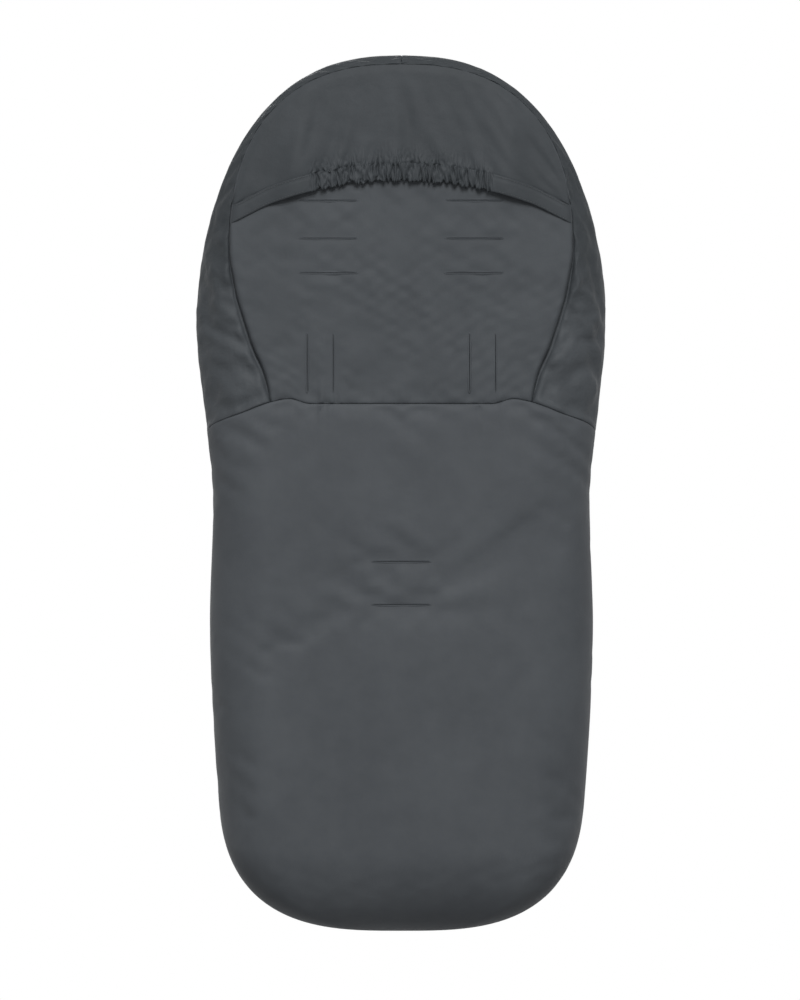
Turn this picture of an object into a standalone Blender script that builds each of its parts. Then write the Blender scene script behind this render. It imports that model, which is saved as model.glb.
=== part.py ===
"""Stroller footmuff: a padded bag with a flat back, side wings round the head, a gathered pocket that slips over the
seat back, harness slots, and a zipped front cover that folds down at the feet.

Metres, +Z up. The back, which lies on the seat, faces -Y, and the front cover faces +Y. The origin is in the middle of
the back panel's outer face, at the height where the pocket hangs on the seat back. Heights are written up from the
foot tip, and drops down from the crown, so a longer muff keeps its head end and gains length at the legs.
HANG_HEIGHT takes heights to the origin.
"""

import math

import bmesh
import bpy
import numpy as np
from mathutils import Vector

# Outline, seen from behind
LENGTH = 0.960
HEAD_HALF_WIDTH = 0.2247
ARCH_RISE = 0.289
WAIST_HALF_WIDTH = 0.2066
WAIST_DROP = 0.495
BAG_HALF_WIDTH = 0.210
BAG_HEIGHT = 0.340
FOOT_HALF_WIDTH = 0.190
TOE_ROUND = 0.150
HANG_DROP = 0.0155
ARCH_ACROSS = 2.5
ARCH_UP = 1.93
TOE_ACROSS = 3.0
TOE_UP = 2.75

# Back panel's outline: the seam between it and the wings
WING_WIDTH = 0.0362
PANEL_WIDE_DROP = 0.212
WAIST_WING_WIDTH = 0.0641
RIM_BAND = 0.0103
PANEL_ARCH_UP = 2.3
SEAM_HEIGHT_SHARES = (0.0, 0.19, 0.35, 0.545, 0.71, 1.0)
SEAM_WIDTH_SHARES = (0.0, 0.19, 0.45, 0.69, 0.86, 1.0)
CREASE = 0.003
CREASE_REACH = 0.008
CREASE_FADE = 0.060

# Waist seam: level behind, a small peak beside the wings' folds, then falling round the sides
WAIST_SEAM_DROP = 0.3814
SEAM_DROP = 0.030
SEAM_REACH = 0.060
DROP_STATION_SHARES = (0.0, 0.14, 0.17, 0.2, 0.266, 0.334, 0.4, 0.6, 1.0)
DROP_SHARES = (0.0, 0.0, 0.18, 0.06, -0.38, -0.71, -1.0, -1.1, -1.1)

# Depth and section
HINGE_HEIGHT = 0.090
TIP_SHARE = 0.5
CORNER_SHARE = 0.42
CORNER_FULLNESS = 1.1
CROWN_ROUND = 2.2
RIM_DEPTH = 0.095
RIM_INSET = 0.006
RIM_LEAN = math.radians(70)
RIM_BLEND = 0.100

# Cloth, wadding and lining, and the gap that is kept between pieces
GAP = 0.0003
SHELL = 0.001
WADDING = 0.008
LINING = 0.0025
THIN_SHARE = 0.3
WING_FILL_SHARE = 0.65
POCKET_CLOTH = 0.0012

# Zips. Distances across a zip are from the line where its two coils meet
ZIP_LEAN = math.radians(24)
ZIP_FOOT_INWARD = 0.050
ZIP_FOOT_DEPTH = 0.118
ZIP_CHEST_INWARD = 0.0467
ZIP_CHEST_DEPTH = 0.069
CHEST_DROP = 0.320
ZIP_FLAT = 0.015
WADDING_EDGE = 0.014
SHELL_EDGE = 0.006
RIM_WADDING_EDGE = 0.0075
COIL_WIDTH = 0.0028
COIL_HALF_HEIGHT = 0.001
TAPE_THICKNESS = 0.0008
ZIP_END_INSET = 0.008
ZIP_FOOT_INSET = 0.003

# Sliders and pullers
SLIDER_LENGTH = 0.012
SLIDER_HALF_WIDTH = 0.0045
SLIDER_PLATE = 0.0012
SLIDER_FLANGE = 0.0011
SLIDER_WEB = 0.0011
EAR_GAP = 0.0046
EAR_THICKNESS = 0.0009
EAR_LENGTH = 0.0032
PIN_RADIUS = 0.0007
PULLER_LENGTH = 0.015
PULLER_HALF_WIDTH = 0.0035
PULLER_THICKNESS = 0.0013
PULLER_NECK = 0.0028
PULLER_WALL = 0.0009
PULLER_CORNER = 0.0013
PULLER_CLEAR = 0.005
STOP_LENGTH = 0.003
STOP_HEIGHT = 0.0022
TAPE_END = 0.0015

# Chest collar
COLLAR_HEIGHT = 0.080
COLLAR_EDGE = 0.012

# Rim binding and its elastic
BINDING_FLANGE = 0.008
BINDING_TURN = 0.005
BINDING_CLOTH = 0.0008
RIM_ELASTIC_THICKNESS = 0.001
RIM_ELASTIC_WIDTH = 0.005
RIM_START_CLEAR = 0.003

# Seat pocket and its gathered hem
HEM_END_DROP = 0.181
HEM_RISE = 0.045
HEM_ARCH = 2.05
HEM_WIDTH = 0.018
HEM_GATHER_HALF_WIDTH = 0.098
HEM_THICKNESS = 0.0026
HEM_FULLNESS = 0.001
RUFFLE_HEIGHT = 0.0022
RUFFLE_SCALLOP = 0.0012
RUFFLES = 19
POCKET_BULGE = 0.012
POCKET_INSET = 0.0015
POCKET_END_INSET = 0.0025
POCKET_ROUND = 0.8
POCKET_FADE = 1.8
HEM_JOIN_GAP = 0.0005
ELASTIC_WIDTH = 0.012
ELASTIC_THICKNESS = 0.001
HEM_INNER_WALL = 0.0005

# Harness slots
SLOT_LENGTH = 0.066
SLOT_OPENING = 0.005
SLOT_FACING = 0.0008
SLOT_CORNER_STEPS = 3
CUT_OVERRUN = 0.005
SHOULDER_SLOT_DROPS = (0.159, 0.2005, 0.2385)
SHOULDER_SLOT_OFFSET = 0.080
WAIST_SLOT_DROP = 0.3365
WAIST_SLOT_OFFSETS = (0.0745, 0.103)
CROTCH_SLOT_DROPS = (0.554, 0.601)

# Stations round the section: 0 back middle, 1 wing seam, 2 widest line, 3 and 4 either side of the zip, 5 front middle
BACK_STATION_SHARES = (0.0, 0.7, 0.85, 0.955, 1.0)
CORNER_STEPS = 4
SIDE_STEPS = 2
CROWN_STEPS = 3
TOE_ROW_SHARES = (0.0, 0.03, 0.13, 0.33, 0.62, 1.0)
BAG_ROW_SHARES = (0.25, 0.5, 0.74, 0.89, 1.0)
WING_ROW_SHARES = (0.0, 0.4, 1.0)
ARCH_ROW_SHARES = (0.08, 0.16, 0.24, 0.32, 0.42, 0.52, 0.62, 0.72, 0.82, 0.91, 1.0)
COVER_ROW_SHARES = (0.0, 0.12, 0.28, 0.46, 0.64, 0.82, 1.0)
COLLAR_ROW_SHARES = (0.0, 0.5, 1.0)
SEAM_SAMPLES = 400
WELD = 1e-6

# Lengths that follow from the ones above
PANEL_TOP = LENGTH - RIM_BAND
SHOULDER_HEIGHT = LENGTH - ARCH_RISE
WAIST_HEIGHT = LENGTH - WAIST_DROP
HANG_HEIGHT = LENGTH - HANG_DROP
PANEL_WIDE_HEIGHT = LENGTH - PANEL_WIDE_DROP
WAIST_SEAM_HEIGHT = LENGTH - WAIST_SEAM_DROP
CHEST_HEIGHT = LENGTH - CHEST_DROP
HEM_END_HEIGHT = LENGTH - HEM_END_DROP
SHOULDER_SLOT_HEIGHTS = [LENGTH - drop for drop in SHOULDER_SLOT_DROPS]
WAIST_SLOT_HEIGHT = LENGTH - WAIST_SLOT_DROP
CROTCH_SLOT_HEIGHTS = [LENGTH - drop for drop in CROTCH_SLOT_DROPS]
PANEL_HALF_WIDTH = HEAD_HALF_WIDTH - WING_WIDTH
PANEL_WAIST_HALF_WIDTH = WAIST_HALF_WIDTH - WAIST_WING_WIDTH
ZIP_FOOT_HALF_WIDTH = FOOT_HALF_WIDTH - ZIP_FOOT_INWARD
ZIP_CHEST_HALF_WIDTH = HEAD_HALF_WIDTH - ZIP_CHEST_INWARD
ARCH_RUN = math.hypot(ARCH_RISE, HEAD_HALF_WIDTH)
LAYERS = SHELL + GAP + WADDING + GAP + LINING
COIL_TOP = CHEST_HEIGHT - ZIP_END_INSET
PIVOT_HEIGHT = COIL_TOP + PULLER_CLEAR + PULLER_LENGTH
EAR_HALF_LENGTH = EAR_LENGTH / 2
SLIDER_TOP = PIVOT_HEIGHT + SLIDER_LENGTH / 3
BAG_COIL_TOP = SLIDER_TOP + STOP_LENGTH - GAP
STOP_FOOT = BAG_COIL_TOP + GAP
TAPE_TOP = STOP_FOOT + STOP_LENGTH + TAPE_END
RIM_START = TAPE_TOP + RIM_START_CLEAR
TAPE_DEPTH = SHELL + GAP
COIL_FOOT = HINGE_HEIGHT + ZIP_FOOT_INSET
BACKWARDS = np.array((0, -1, 0))


# Small maths


def ease(x):
    """0 up to x = 0, 1 from x = 1, and a smooth rise between."""
    x = np.clip(x, 0, 1)
    return x * x * (3 - 2 * x)


def smooth_through(x, places, values, flat_end=False):
    """A smooth curve through the given points that never swings past them, read at x."""
    places = np.asarray(places, float)
    values = np.asarray(values, float)
    steps = np.diff(places)
    rises = np.diff(values) / steps
    before = rises[:-1]
    after = rises[1:]
    total = before + after
    same_way = before * after > 0
    inner = np.where(same_way, 2 * before * after / np.where(same_way, total, 1), 0)
    last = 0 if flat_end else rises[-1]
    slopes = np.concatenate([[rises[0]], inner, [last]])
    x = np.clip(x, places[0], places[-1])
    spot = np.clip(np.searchsorted(places, x, side="right") - 1, 0, len(steps) - 1)
    t = (x - places[spot]) / steps[spot]
    start = (1 + 2 * t) * (1 - t) ** 2 * values[spot] + t * t * (3 - 2 * t) * values[spot + 1]
    turn = t * (1 - t) ** 2 * slopes[spot] - t * t * (1 - t) * slopes[spot + 1]
    return start + steps[spot] * turn


def unit(vectors):
    """Vectors of length one, and zero where there is none."""
    length = np.linalg.norm(vectors, axis=-1, keepdims=True)
    return vectors / np.where(length > WELD, length, 1) * (length > WELD)


# Outlines


def half_width(height):
    """Half the width of the whole muff at a height, below the shoulder."""
    heights = (0, BAG_HEIGHT, WAIST_HEIGHT, SHOULDER_HEIGHT)
    widths = (FOOT_HALF_WIDTH, BAG_HALF_WIDTH, WAIST_HALF_WIDTH, HEAD_HALF_WIDTH)
    side = smooth_through(height, heights, widths, flat_end=True)
    left = np.clip(1 - height / TOE_ROUND, 0, 1)
    return side * (1 - left**TOE_UP) ** (1 / TOE_ACROSS)


def seam_half_width(height):
    """Half the width of the back panel at a height: straight below the waist seam, arched at the crown."""
    span = PANEL_WIDE_HEIGHT - WAIST_SEAM_HEIGHT
    heights = WAIST_SEAM_HEIGHT + span * np.asarray(SEAM_HEIGHT_SHARES)
    spread = PANEL_HALF_WIDTH - PANEL_WAIST_HALF_WIDTH
    widths = PANEL_WAIST_HALF_WIDTH + spread * np.asarray(SEAM_WIDTH_SHARES)
    side = smooth_through(height, heights, widths, flat_end=True)
    rise = np.clip((height - PANEL_WIDE_HEIGHT) / (PANEL_TOP - PANEL_WIDE_HEIGHT), 0, 1)
    return side * (1 - rise**PANEL_ARCH_UP) ** (1 / ARCH_ACROSS)


def seam_rays():
    """Directions and distances of the panel's arched seam, seen from the middle of the shoulder line."""
    share = 1 - (1 - np.linspace(0, 1, SEAM_SAMPLES)) ** 3
    height = SHOULDER_HEIGHT + (PANEL_TOP - SHOULDER_HEIGHT) * share
    across = seam_half_width(height)
    up = height - SHOULDER_HEIGHT
    return np.arctan2(up, across), np.hypot(up, across)


SEAM_TURNS, SEAM_REACHES = seam_rays()


def zip_line(height):
    """How far out and how far forward a zip runs at a height: one straight line."""
    share = (height - HINGE_HEIGHT) / (CHEST_HEIGHT - HINGE_HEIGHT)
    across = ZIP_FOOT_HALF_WIDTH + share * (ZIP_CHEST_HALF_WIDTH - ZIP_FOOT_HALF_WIDTH)
    depth = ZIP_FOOT_DEPTH + share * (ZIP_CHEST_DEPTH - ZIP_FOOT_DEPTH)
    return across, depth


def crown_edge(height):
    """Where the front's crown begins, beside the zip."""
    across, depth = zip_line(height)
    return across - ZIP_FLAT * math.cos(ZIP_LEAN), depth + ZIP_FLAT * math.sin(ZIP_LEAN)


def front_depth(height):
    """Depth of the front's middle: the crown leaves the zip at the zip's own lean."""
    across, depth = crown_edge(height)
    return depth + across * math.tan(ZIP_LEAN) / CROWN_ROUND


def waist_station(u, s):
    """Moves a height s near the waist to follow the waist seam's own line."""
    drop = smooth_through(u / 5, DROP_STATION_SHARES, DROP_SHARES)
    near = 1 - ease(np.abs(s - WAIST_SEAM_HEIGHT) / SEAM_REACH)
    return s + SEAM_DROP * drop * near


def crease_depth(distance, turn, height):
    """How far the cloth is drawn in beside the wing seam, by its distance from the seam."""
    near = np.clip(1 - distance / CREASE_REACH, 0, 1) ** 2
    rise = ease((height - WAIST_SEAM_HEIGHT) / CREASE_FADE)
    return CREASE * near * rise * np.cos(turn) ** 2


# Outer face of the muff


def round_head(s):
    """Direction and distance from the middle of the shoulder line to the outline and to the wing seam."""
    arch = np.clip((s - SHOULDER_HEIGHT) / ARCH_RUN, 0, 1) * math.pi / 2
    level = np.minimum(s, SHOULDER_HEIGHT)
    across = half_width(level) * np.cos(arch) ** (2 / ARCH_ACROSS)
    rise = ARCH_RISE * np.sin(arch) ** (2 / ARCH_UP)
    turn = np.arctan2(rise, across)
    seam = np.where(s > SHOULDER_HEIGHT, np.interp(turn, SEAM_TURNS, SEAM_REACHES), seam_half_width(level))
    return level, turn, np.hypot(across, rise), seam


def surface(u, s):
    """Points of the outer face on the right half. u goes round the section, by the stations named above, and s is the
    height above the foot tip, which past the shoulder runs on round the head's arch."""
    u, s = np.broadcast_arrays(np.asarray(u, float), np.asarray(s, float))
    above = np.maximum(s, HINGE_HEIGHT)
    level, turn, reach, seam = round_head(above)
    wing = reach - seam
    head = ease((above - RIM_START) / RIM_BLEND) * (u < 3.5)
    zip_across, zip_depth = zip_line(above)
    lean = ZIP_LEAN + (RIM_LEAN - ZIP_LEAN) * head
    at_zip = reach - zip_across - ZIP_FLAT * math.cos(ZIP_LEAN)
    at_zip_depth = zip_depth - ZIP_FLAT * math.sin(ZIP_LEAN)
    inset = at_zip + (RIM_INSET - at_zip) * head
    depth_3 = at_zip_depth + (RIM_DEPTH - ZIP_FLAT * np.sin(lean) - at_zip_depth) * head
    corner = np.minimum(CORNER_SHARE * front_depth(level), CORNER_FULLNESS * wing)

    # Corner of the back: a quarter ellipse from the seam to the widest line
    angle = np.clip(u - 1, 0, 1) * math.pi / 2
    inward = wing * (1 - np.sin(angle))
    depth = corner * (1 - np.cos(angle))

    # Side: a curve that leaves the widest line straight forwards and meets the zip at its lean
    t = np.clip(u - 2, 0, 1)
    bend = depth_3 - inset * np.tan(lean)
    side_inward = inset * t * t
    side_depth = corner * (1 - t) ** 2 + 2 * bend * t * (1 - t) + depth_3 * t * t
    inward = np.where(u > 2, side_inward, inward)
    depth = np.where(u > 2, side_depth, depth)

    # Flat strip at the zip, or at the rim round the head
    run = np.clip(u - 3, 0, 1) * 2 * ZIP_FLAT
    inward = np.where(u > 3, inset + run * np.cos(lean), inward)
    depth = np.where(u > 3, depth_3 + run * np.sin(lean), depth)

    x = (reach - inward) * np.cos(turn)
    h = level + (reach - inward) * np.sin(turn)
    inside = u <= 1
    x = np.where(inside, u * seam * np.cos(turn), x)
    h = np.where(inside, level + seam * np.sin(turn), h)
    from_seam = np.where(inside, (1 - u) * seam, wing - inward)
    depth = depth * (u > 1) + crease_depth(from_seam, turn, above) * (u < 3)

    # Front, which keeps its own level even where the head's arch has begun
    front = u > 3.5
    plane = (np.clip(u - 3, 0, 1) - 0.5) * 2 * ZIP_FLAT
    x = np.where(front, zip_across - plane * math.cos(ZIP_LEAN), x)
    depth = np.where(front, zip_depth + plane * math.sin(ZIP_LEAN), depth)
    edge_across, edge_depth = crown_edge(above)
    share = np.clip(5 - u, 0, 1)
    middle = front_depth(above)
    x = np.where(u > 4, edge_across * share, x)
    depth = np.where(u > 4, middle - (middle - edge_depth) * share**CROWN_ROUND, depth)
    h = np.where(front, above, h)

    # Foot end: the section shrinks to the tip
    low = s < HINGE_HEIGHT
    below = np.minimum(s, HINGE_HEIGHT)
    full = front_depth(HINGE_HEIGHT)
    round_off = np.sqrt(np.clip(1 - (1 - below / HINGE_HEIGHT) ** 2, 0, 1))
    tip = full * TIP_SHARE
    back = tip * (1 - round_off)
    x = np.where(low, x * half_width(below) / half_width(HINGE_HEIGHT), x)
    depth = np.where(low, back + depth / full * (tip + (full - tip) * round_off - back), depth)
    h = np.where(low, s, h)
    return np.stack([x, depth, h - HANG_HEIGHT], axis=-1)


def fill(u, s):
    """How full the wadding is: thinner where a wing is narrow, and beside the zips and the rim."""
    u, s = np.broadcast_arrays(np.asarray(u, float), np.asarray(s, float))
    _, _, reach, seam = round_head(np.maximum(s, HINGE_HEIGHT))
    thick = (WING_FILL_SHARE * (reach - seam) - LAYERS + WADDING) / WADDING
    wing = np.clip(np.where((u > 1 - WELD) & (u < 3.5), thick, 1), THIN_SHARE, 1)
    to_edge = np.where(u < 3.5, ease((u - 2.2) / 0.75), ease((4.6 - u) / 0.55))
    to_edge = to_edge * ease((s / HINGE_HEIGHT - 0.5) * 2)
    return np.minimum(wing, 1 - (1 - THIN_SHARE) * to_edge)


# Meshes


def new_material(name, colour, roughness, metallic=0.0):
    """A plain finish."""
    material = bpy.data.materials.new(name)
    material.use_nodes = True
    shader = material.node_tree.nodes["Principled BSDF"]
    shader.inputs["Base Color"].default_value = (*colour, 1)
    shader.inputs["Roughness"].default_value = roughness
    shader.inputs["Metallic"].default_value = metallic
    return material


def new_object(name, points, faces, material, pivot=None):
    """A closed mesh object, with its points welded and its faces turned outwards. Pieces of a moving body hang from the
    empty that marks their joint."""
    mesh = bpy.data.meshes.new(name)
    mesh.from_pydata([tuple(point) for point in points], [], [list(face) for face in faces])
    shape = bmesh.new()
    shape.from_mesh(mesh)
    bmesh.ops.remove_doubles(shape, verts=shape.verts, dist=WELD)
    loose = [vertex for vertex in shape.verts if not vertex.link_faces]
    bmesh.ops.delete(shape, geom=loose, context="VERTS")
    bmesh.ops.recalc_face_normals(shape, faces=shape.faces)
    shape.to_mesh(mesh)
    shape.free()
    mesh.shade_smooth()
    mesh.set_sharp_from_angle(angle=math.radians(40))
    obj = bpy.data.objects.new(name, mesh)
    bpy.context.scene.collection.objects.link(obj)
    if material is not None:
        mesh.materials.append(material)
    if pivot is not None:
        mesh.transform(pivot.matrix_world.inverted())
        obj.parent = pivot
    return obj


def new_pivot(name, place):
    """An empty that marks a joint."""
    pivot = bpy.data.objects.new(name, None)
    pivot.location = place
    bpy.context.scene.collection.objects.link(pivot)
    bpy.context.view_layer.update()
    return pivot


def as_cutter(obj):
    """Hides a helper, which only cuts or joins another piece."""
    obj.hide_render = True
    obj.display_type = "WIRE"
    return obj


def combine(obj, other, operation):
    """Cuts or joins with a hidden helper."""
    change = obj.modifiers.new(other.name, "BOOLEAN")
    change.operation = operation
    change.object = as_cutter(other)
    change.solver = "EXACT"


def turning(points, axis, ring):
    """Directions along one side of a grid of points, halfway between the edge before and the edge after."""
    points = np.moveaxis(points, axis, 0)
    if ring:
        after = unit(np.roll(points, -1, axis=0) - points)
        before = np.roll(after, 1, axis=0)
    else:
        steps = unit(np.diff(points, axis=0))
        after = np.concatenate([steps, steps[-1:]])
        before = np.concatenate([steps[:1], steps])
    return np.moveaxis(unit(after + before), 0, axis)


def outward(points, stations, level_rows=(), ring=False):
    """Outward directions over a grid of points. A row that shrinks to a tip takes the mean of the row beside it. Rows
    where two pieces meet look level, and the wing seam looks straight back, so both pieces share their directions."""
    across = turning(points, 1, ring)
    up = turning(points, 0, False)
    normals = unit(np.cross(across, up))
    for row in level_rows:
        normals[row, :, 2] = 0
        normals[row] = unit(normals[row])
    at_seam = np.abs(np.asarray(stations) - 1) < WELD
    if ring:
        normals[np.ix_(level_rows, at_seam)] = BACKWARDS
    else:
        normals[:, at_seam] = BACKWARDS
    size = np.ptp(points, axis=1).max(axis=-1)
    if size[0] < WELD:
        normals[0] = unit(normals[1].mean(axis=0))
    if size[-1] < WELD:
        normals[-1] = unit(normals[-2].mean(axis=0))
    return normals


def split(quads):
    """Two triangles from each quad, cut from its first corner to its third."""
    quads = np.asarray(quads).reshape(-1, 4)
    return np.concatenate([quads[:, [0, 1, 2]], quads[:, [0, 2, 3]]]).tolist()


def wall_faces(cells, ring, depth):
    """Faces of a wall between two grids of points, and of its rim, over the cells that are there. Faces that lie over
    each other are cut along the same diagonal, and the rim's run from the shallower outer corner."""
    rows = cells.shape[0] + 1
    columns = cells.shape[1] + (0 if ring else 1)
    index = np.arange(rows * columns).reshape(rows, columns)
    if ring:
        index = np.concatenate([index, index[:, :1]], axis=1)
    quads = np.stack([index[:-1, :-1], index[:-1, 1:], index[1:, 1:], index[1:, :-1]], axis=-1)[cells]
    edges = [(int(q[i]), int(q[(i + 1) % 4])) for q in quads for i in range(4)]
    known = set(edges)
    behind = rows * columns
    rim = []
    for a, b in edges:
        if (b, a) not in known:
            first, second = (a, b) if depth[a] <= depth[b] else (b, a)
            rim.append((first, second, second + behind, first + behind))
    return [*split(quads), *split(quads[:, [0, 3, 2, 1]] + behind), *split(rim)]


def wall(name, outer, inner, material, cells=None, ring=False, pivot=None):
    """A closed wall between an outer and an inner grid of points."""
    if cells is None:
        cells = np.ones((outer.shape[0] - 1, outer.shape[1] - (0 if ring else 1)), bool)
    points = np.concatenate([outer.reshape(-1, 3), inner.reshape(-1, 3)])
    return new_object(name, points, wall_faces(cells, ring, points[:, 1]), material, pivot)


def sweep(name, rings, material, pivot=None, turned=(), middle=None):
    """A solid through closed rings of points, capped at both ends. Its sides are cut from a ring's corner to the next
    corner of the ring after, the other way on the turned sides, and all the other way again past the middle ring."""
    count, around = rings.shape[:2]
    quads = []
    for k in range(count - 1):
        for i in range(around):
            j = (i + 1) % around
            corners = (k * around + i, k * around + j, (k + 1) * around + j, (k + 1) * around + i)
            other_way = (i in turned) != (middle is not None and k >= middle)
            quads.append(corners[1:] + corners[:1] if other_way else corners)
    faces = split(quads)
    faces.append(tuple(range(around)))
    faces.append(tuple((count - 1) * around + i for i in range(around)))
    return new_object(name, rings.reshape(-1, 3), faces, material, pivot)


def tube(name, outer, inner, material, pivot=None):
    """A hollow length between outer rings and inner rings of as many points, open at both ends."""
    count, around = outer.shape[:2]
    behind = count * around
    faces = []
    for start in (0, behind):
        for k in range(count - 1):
            for i in range(around):
                a = start + k * around + i
                b = start + k * around + (i + 1) % around
                faces.append((a, b, b + around, a + around))
    for k in (0, count - 1):
        for i in range(around):
            a = k * around + i
            b = k * around + (i + 1) % around
            faces.append((a, b, b + behind, a + behind))
    points = np.concatenate([outer.reshape(-1, 3), inner.reshape(-1, 3)])
    return new_object(name, points, faces, material, pivot)


# Stations


def flat_station(across):
    """Station at a distance from the zip's line, on the flat strip beside it."""
    return 3 + (ZIP_FLAT - across) / (2 * ZIP_FLAT)


def half_stations():
    """Stations of the right half, from the back's middle to the zip's bag edge."""
    corner = [1 + (i + 1) / CORNER_STEPS for i in range(CORNER_STEPS)]
    side = [2 + (i + 1) / SIDE_STEPS for i in range(SIDE_STEPS)]
    return np.array([*BACK_STATION_SHARES, *corner, *side, flat_station(WADDING_EDGE), flat_station(SHELL_EDGE)])


def front_stations(edge):
    """Stations from the cover's edge to the front's middle."""
    crown = [4 + (i + 1) / CROWN_STEPS for i in range(CROWN_STEPS)]
    return np.array([flat_station(-edge), flat_station(-WADDING_EDGE), *crown])


BACK_HALF = half_stations()
FRONT_HALF = front_stations(SHELL_EDGE)


def wing_stations(rows):
    """Stations of a wing for each of its rows. Round the head the wadding comes out as far as the binding."""
    stations = np.tile(BACK_HALF[BACK_HALF >= 1], (len(rows), 1))
    reach = WADDING_EDGE + (RIM_WADDING_EDGE - WADDING_EDGE) * ease((rows - RIM_START) / RIM_BLEND)
    stations[:, -2] = flat_station(reach)
    return stations


def grid(sides, stations, rows):
    """Points of the outer face, and how full the wadding is, for columns of (side, station) and rows of heights."""
    station = np.atleast_2d(stations)
    height = waist_station(station, np.asarray(rows, float)[:, None])
    points = surface(station, height)
    points[..., 0] *= sides
    return points, fill(station, height)


LAYER_DEPTHS = {
    "shell": lambda full: (0 * full, 0 * full + SHELL),
    "wadding": lambda full: (0 * full + SHELL + GAP, SHELL + GAP + WADDING * full),
    "lining": lambda full: (SHELL + GAP + WADDING * full + GAP, SHELL + GAP + WADDING * full + GAP + LINING),
}


def layer(name, kind, points, normals, full, material, cells=None, ring=False, pivot=None):
    """One layer of the padded wall under the outer face."""
    near, far = LAYER_DEPTHS[kind](full[..., None])
    return wall(name, points - normals * near, points - normals * far, material, cells, ring, pivot)


def three_layers(name, points, normals, full, materials, padded=slice(None), pivot=None):
    """Outer cloth over all columns, wadding and lining over the padded ones."""
    made = [layer(name + "_shell", "shell", points, normals, full, materials[0], pivot=pivot)]
    part = (points[:, padded], normals[:, padded], full[:, padded])
    for kind, material in (("wadding", materials[1]), ("lining", materials[2])):
        made.append(layer(f"{name}_{kind}", kind, *part, material, pivot=pivot))
    return made


# Pieces


def waist_rows():
    """Rows of the panel and wings: from the waist seam to the rim's start, then round the head's arch."""
    foot = WAIST_SEAM_HEIGHT + GAP / 2
    straight = foot + (RIM_START - foot) * np.asarray(WING_ROW_SHARES)
    end = SHOULDER_HEIGHT + ARCH_RUN
    return np.concatenate([straight, RIM_START + (end - RIM_START) * np.asarray(ARCH_ROW_SHARES)])


def back_panel(materials):
    """Flat panel that the child's back lies on, with the harness slots cut through all of its layers."""
    back = np.asarray(BACK_STATION_SHARES)
    stations = np.concatenate([back[:0:-1], back])
    sides = np.concatenate([-np.ones(len(back) - 1), np.ones(len(back))])
    points, full = grid(sides, stations, waist_rows())
    normals = np.broadcast_to(BACKWARDS, points.shape)
    edge = np.abs(points[:, [0, -1], 0])
    points[:, [0, -1], 0] *= np.maximum(edge - GAP, 0) / np.maximum(edge, GAP)
    points[-1, :, 2] -= GAP
    full[-1] = full[-1].min()
    layers = three_layers("back_panel", points, normals, full, materials)
    slots = [(side * SHOULDER_SLOT_OFFSET, height, False) for height in SHOULDER_SLOT_HEIGHTS for side in (-1, 1)]
    slots += [(side * offset, WAIST_SLOT_HEIGHT, True) for offset in WAIST_SLOT_OFFSETS for side in (-1, 1)]
    cutter = slot_cutter("panel_slot_cutter", slots)
    for obj in layers:
        combine(obj, cutter, "DIFFERENCE")


def wing(name, side, materials):
    """Gusset that stands forward from the panel's seam to the zip and the rim, and runs round the head to the crown."""
    rows = waist_rows()
    stations = wing_stations(rows)
    points, full = grid(1, stations, rows)
    normals = outward(points, stations[0], level_rows=(0,))
    normals[-1, :, 0] = 0
    normals[-1] = unit(normals[-1])
    points[..., 0] = np.maximum(points[..., 0], GAP / 2)
    mirror = np.array((side, 1, 1))
    three_layers(name, points * mirror, normals * mirror, full, materials, padded=slice(0, -1))


def lower_bag(materials):
    """Bag round the legs: the back, the sides and the whole rounded foot end, open in front between the zips."""
    toe = HINGE_HEIGHT * np.asarray(TOE_ROW_SHARES)
    top = WAIST_SEAM_HEIGHT - GAP / 2
    rows = np.concatenate([toe, HINGE_HEIGHT + (top - HINGE_HEIGHT) * np.asarray(BAG_ROW_SHARES)])
    half = np.concatenate([BACK_HALF, FRONT_HALF])
    stations = np.concatenate([half, half[-2:0:-1]])
    sides = np.concatenate([np.ones(len(half)), -np.ones(len(half) - 2)])
    points, full = grid(sides, stations, rows)
    normals = outward(points, stations, level_rows=(len(toe) - 1, len(rows) - 1), ring=True)
    in_toe = rows[1:, None] <= HINGE_HEIGHT + WELD
    made = []
    edges = (("shell", SHELL_EDGE), ("wadding", WADDING_EDGE), ("lining", WADDING_EDGE))
    for material, (kind, edge) in zip(materials, edges):
        behind_zip = stations <= flat_station(edge) + WELD
        present = in_toe | (behind_zip & np.roll(behind_zip, -1))[None, :]
        made.append(layer(f"lower_bag_{kind}", kind, points, normals, full, material, present, ring=True))
    cutter = slot_cutter("crotch_slot_cutter", [(0, height, False) for height in CROTCH_SLOT_HEIGHTS])
    for obj in made:
        combine(obj, cutter, "DIFFERENCE")


def cover(name, foot, top, shares, edge, materials, pivot):
    """Front piece between the zips: the apron, or the collar above it."""
    rows = foot + (top - foot) * np.asarray(shares)
    right = front_stations(edge)
    stations = np.concatenate([right, right[-2::-1]])[None, :]
    sides = np.concatenate([np.ones(len(right)), -np.ones(len(right) - 1)])
    points = surface(stations, rows[:, None])
    points[..., 0] *= sides
    normals = outward(points, stations[0], level_rows=(0, len(rows) - 1))
    full = fill(stations, rows[:, None])
    three_layers(name, points, normals, full, materials, padded=slice(1, -1), pivot=pivot)


# Harness slots


def slot_outline(length, opening):
    """A long slot with round ends, as points (along, across)."""
    radius = opening / 2
    angles = np.linspace(-math.pi / 2, math.pi / 2, SLOT_CORNER_STEPS + 1)
    along = length / 2 - radius + radius * np.cos(angles)
    across = radius * np.sin(angles)
    return np.concatenate([np.stack([along, across], -1), np.stack([-along, -across], -1)])


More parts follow.
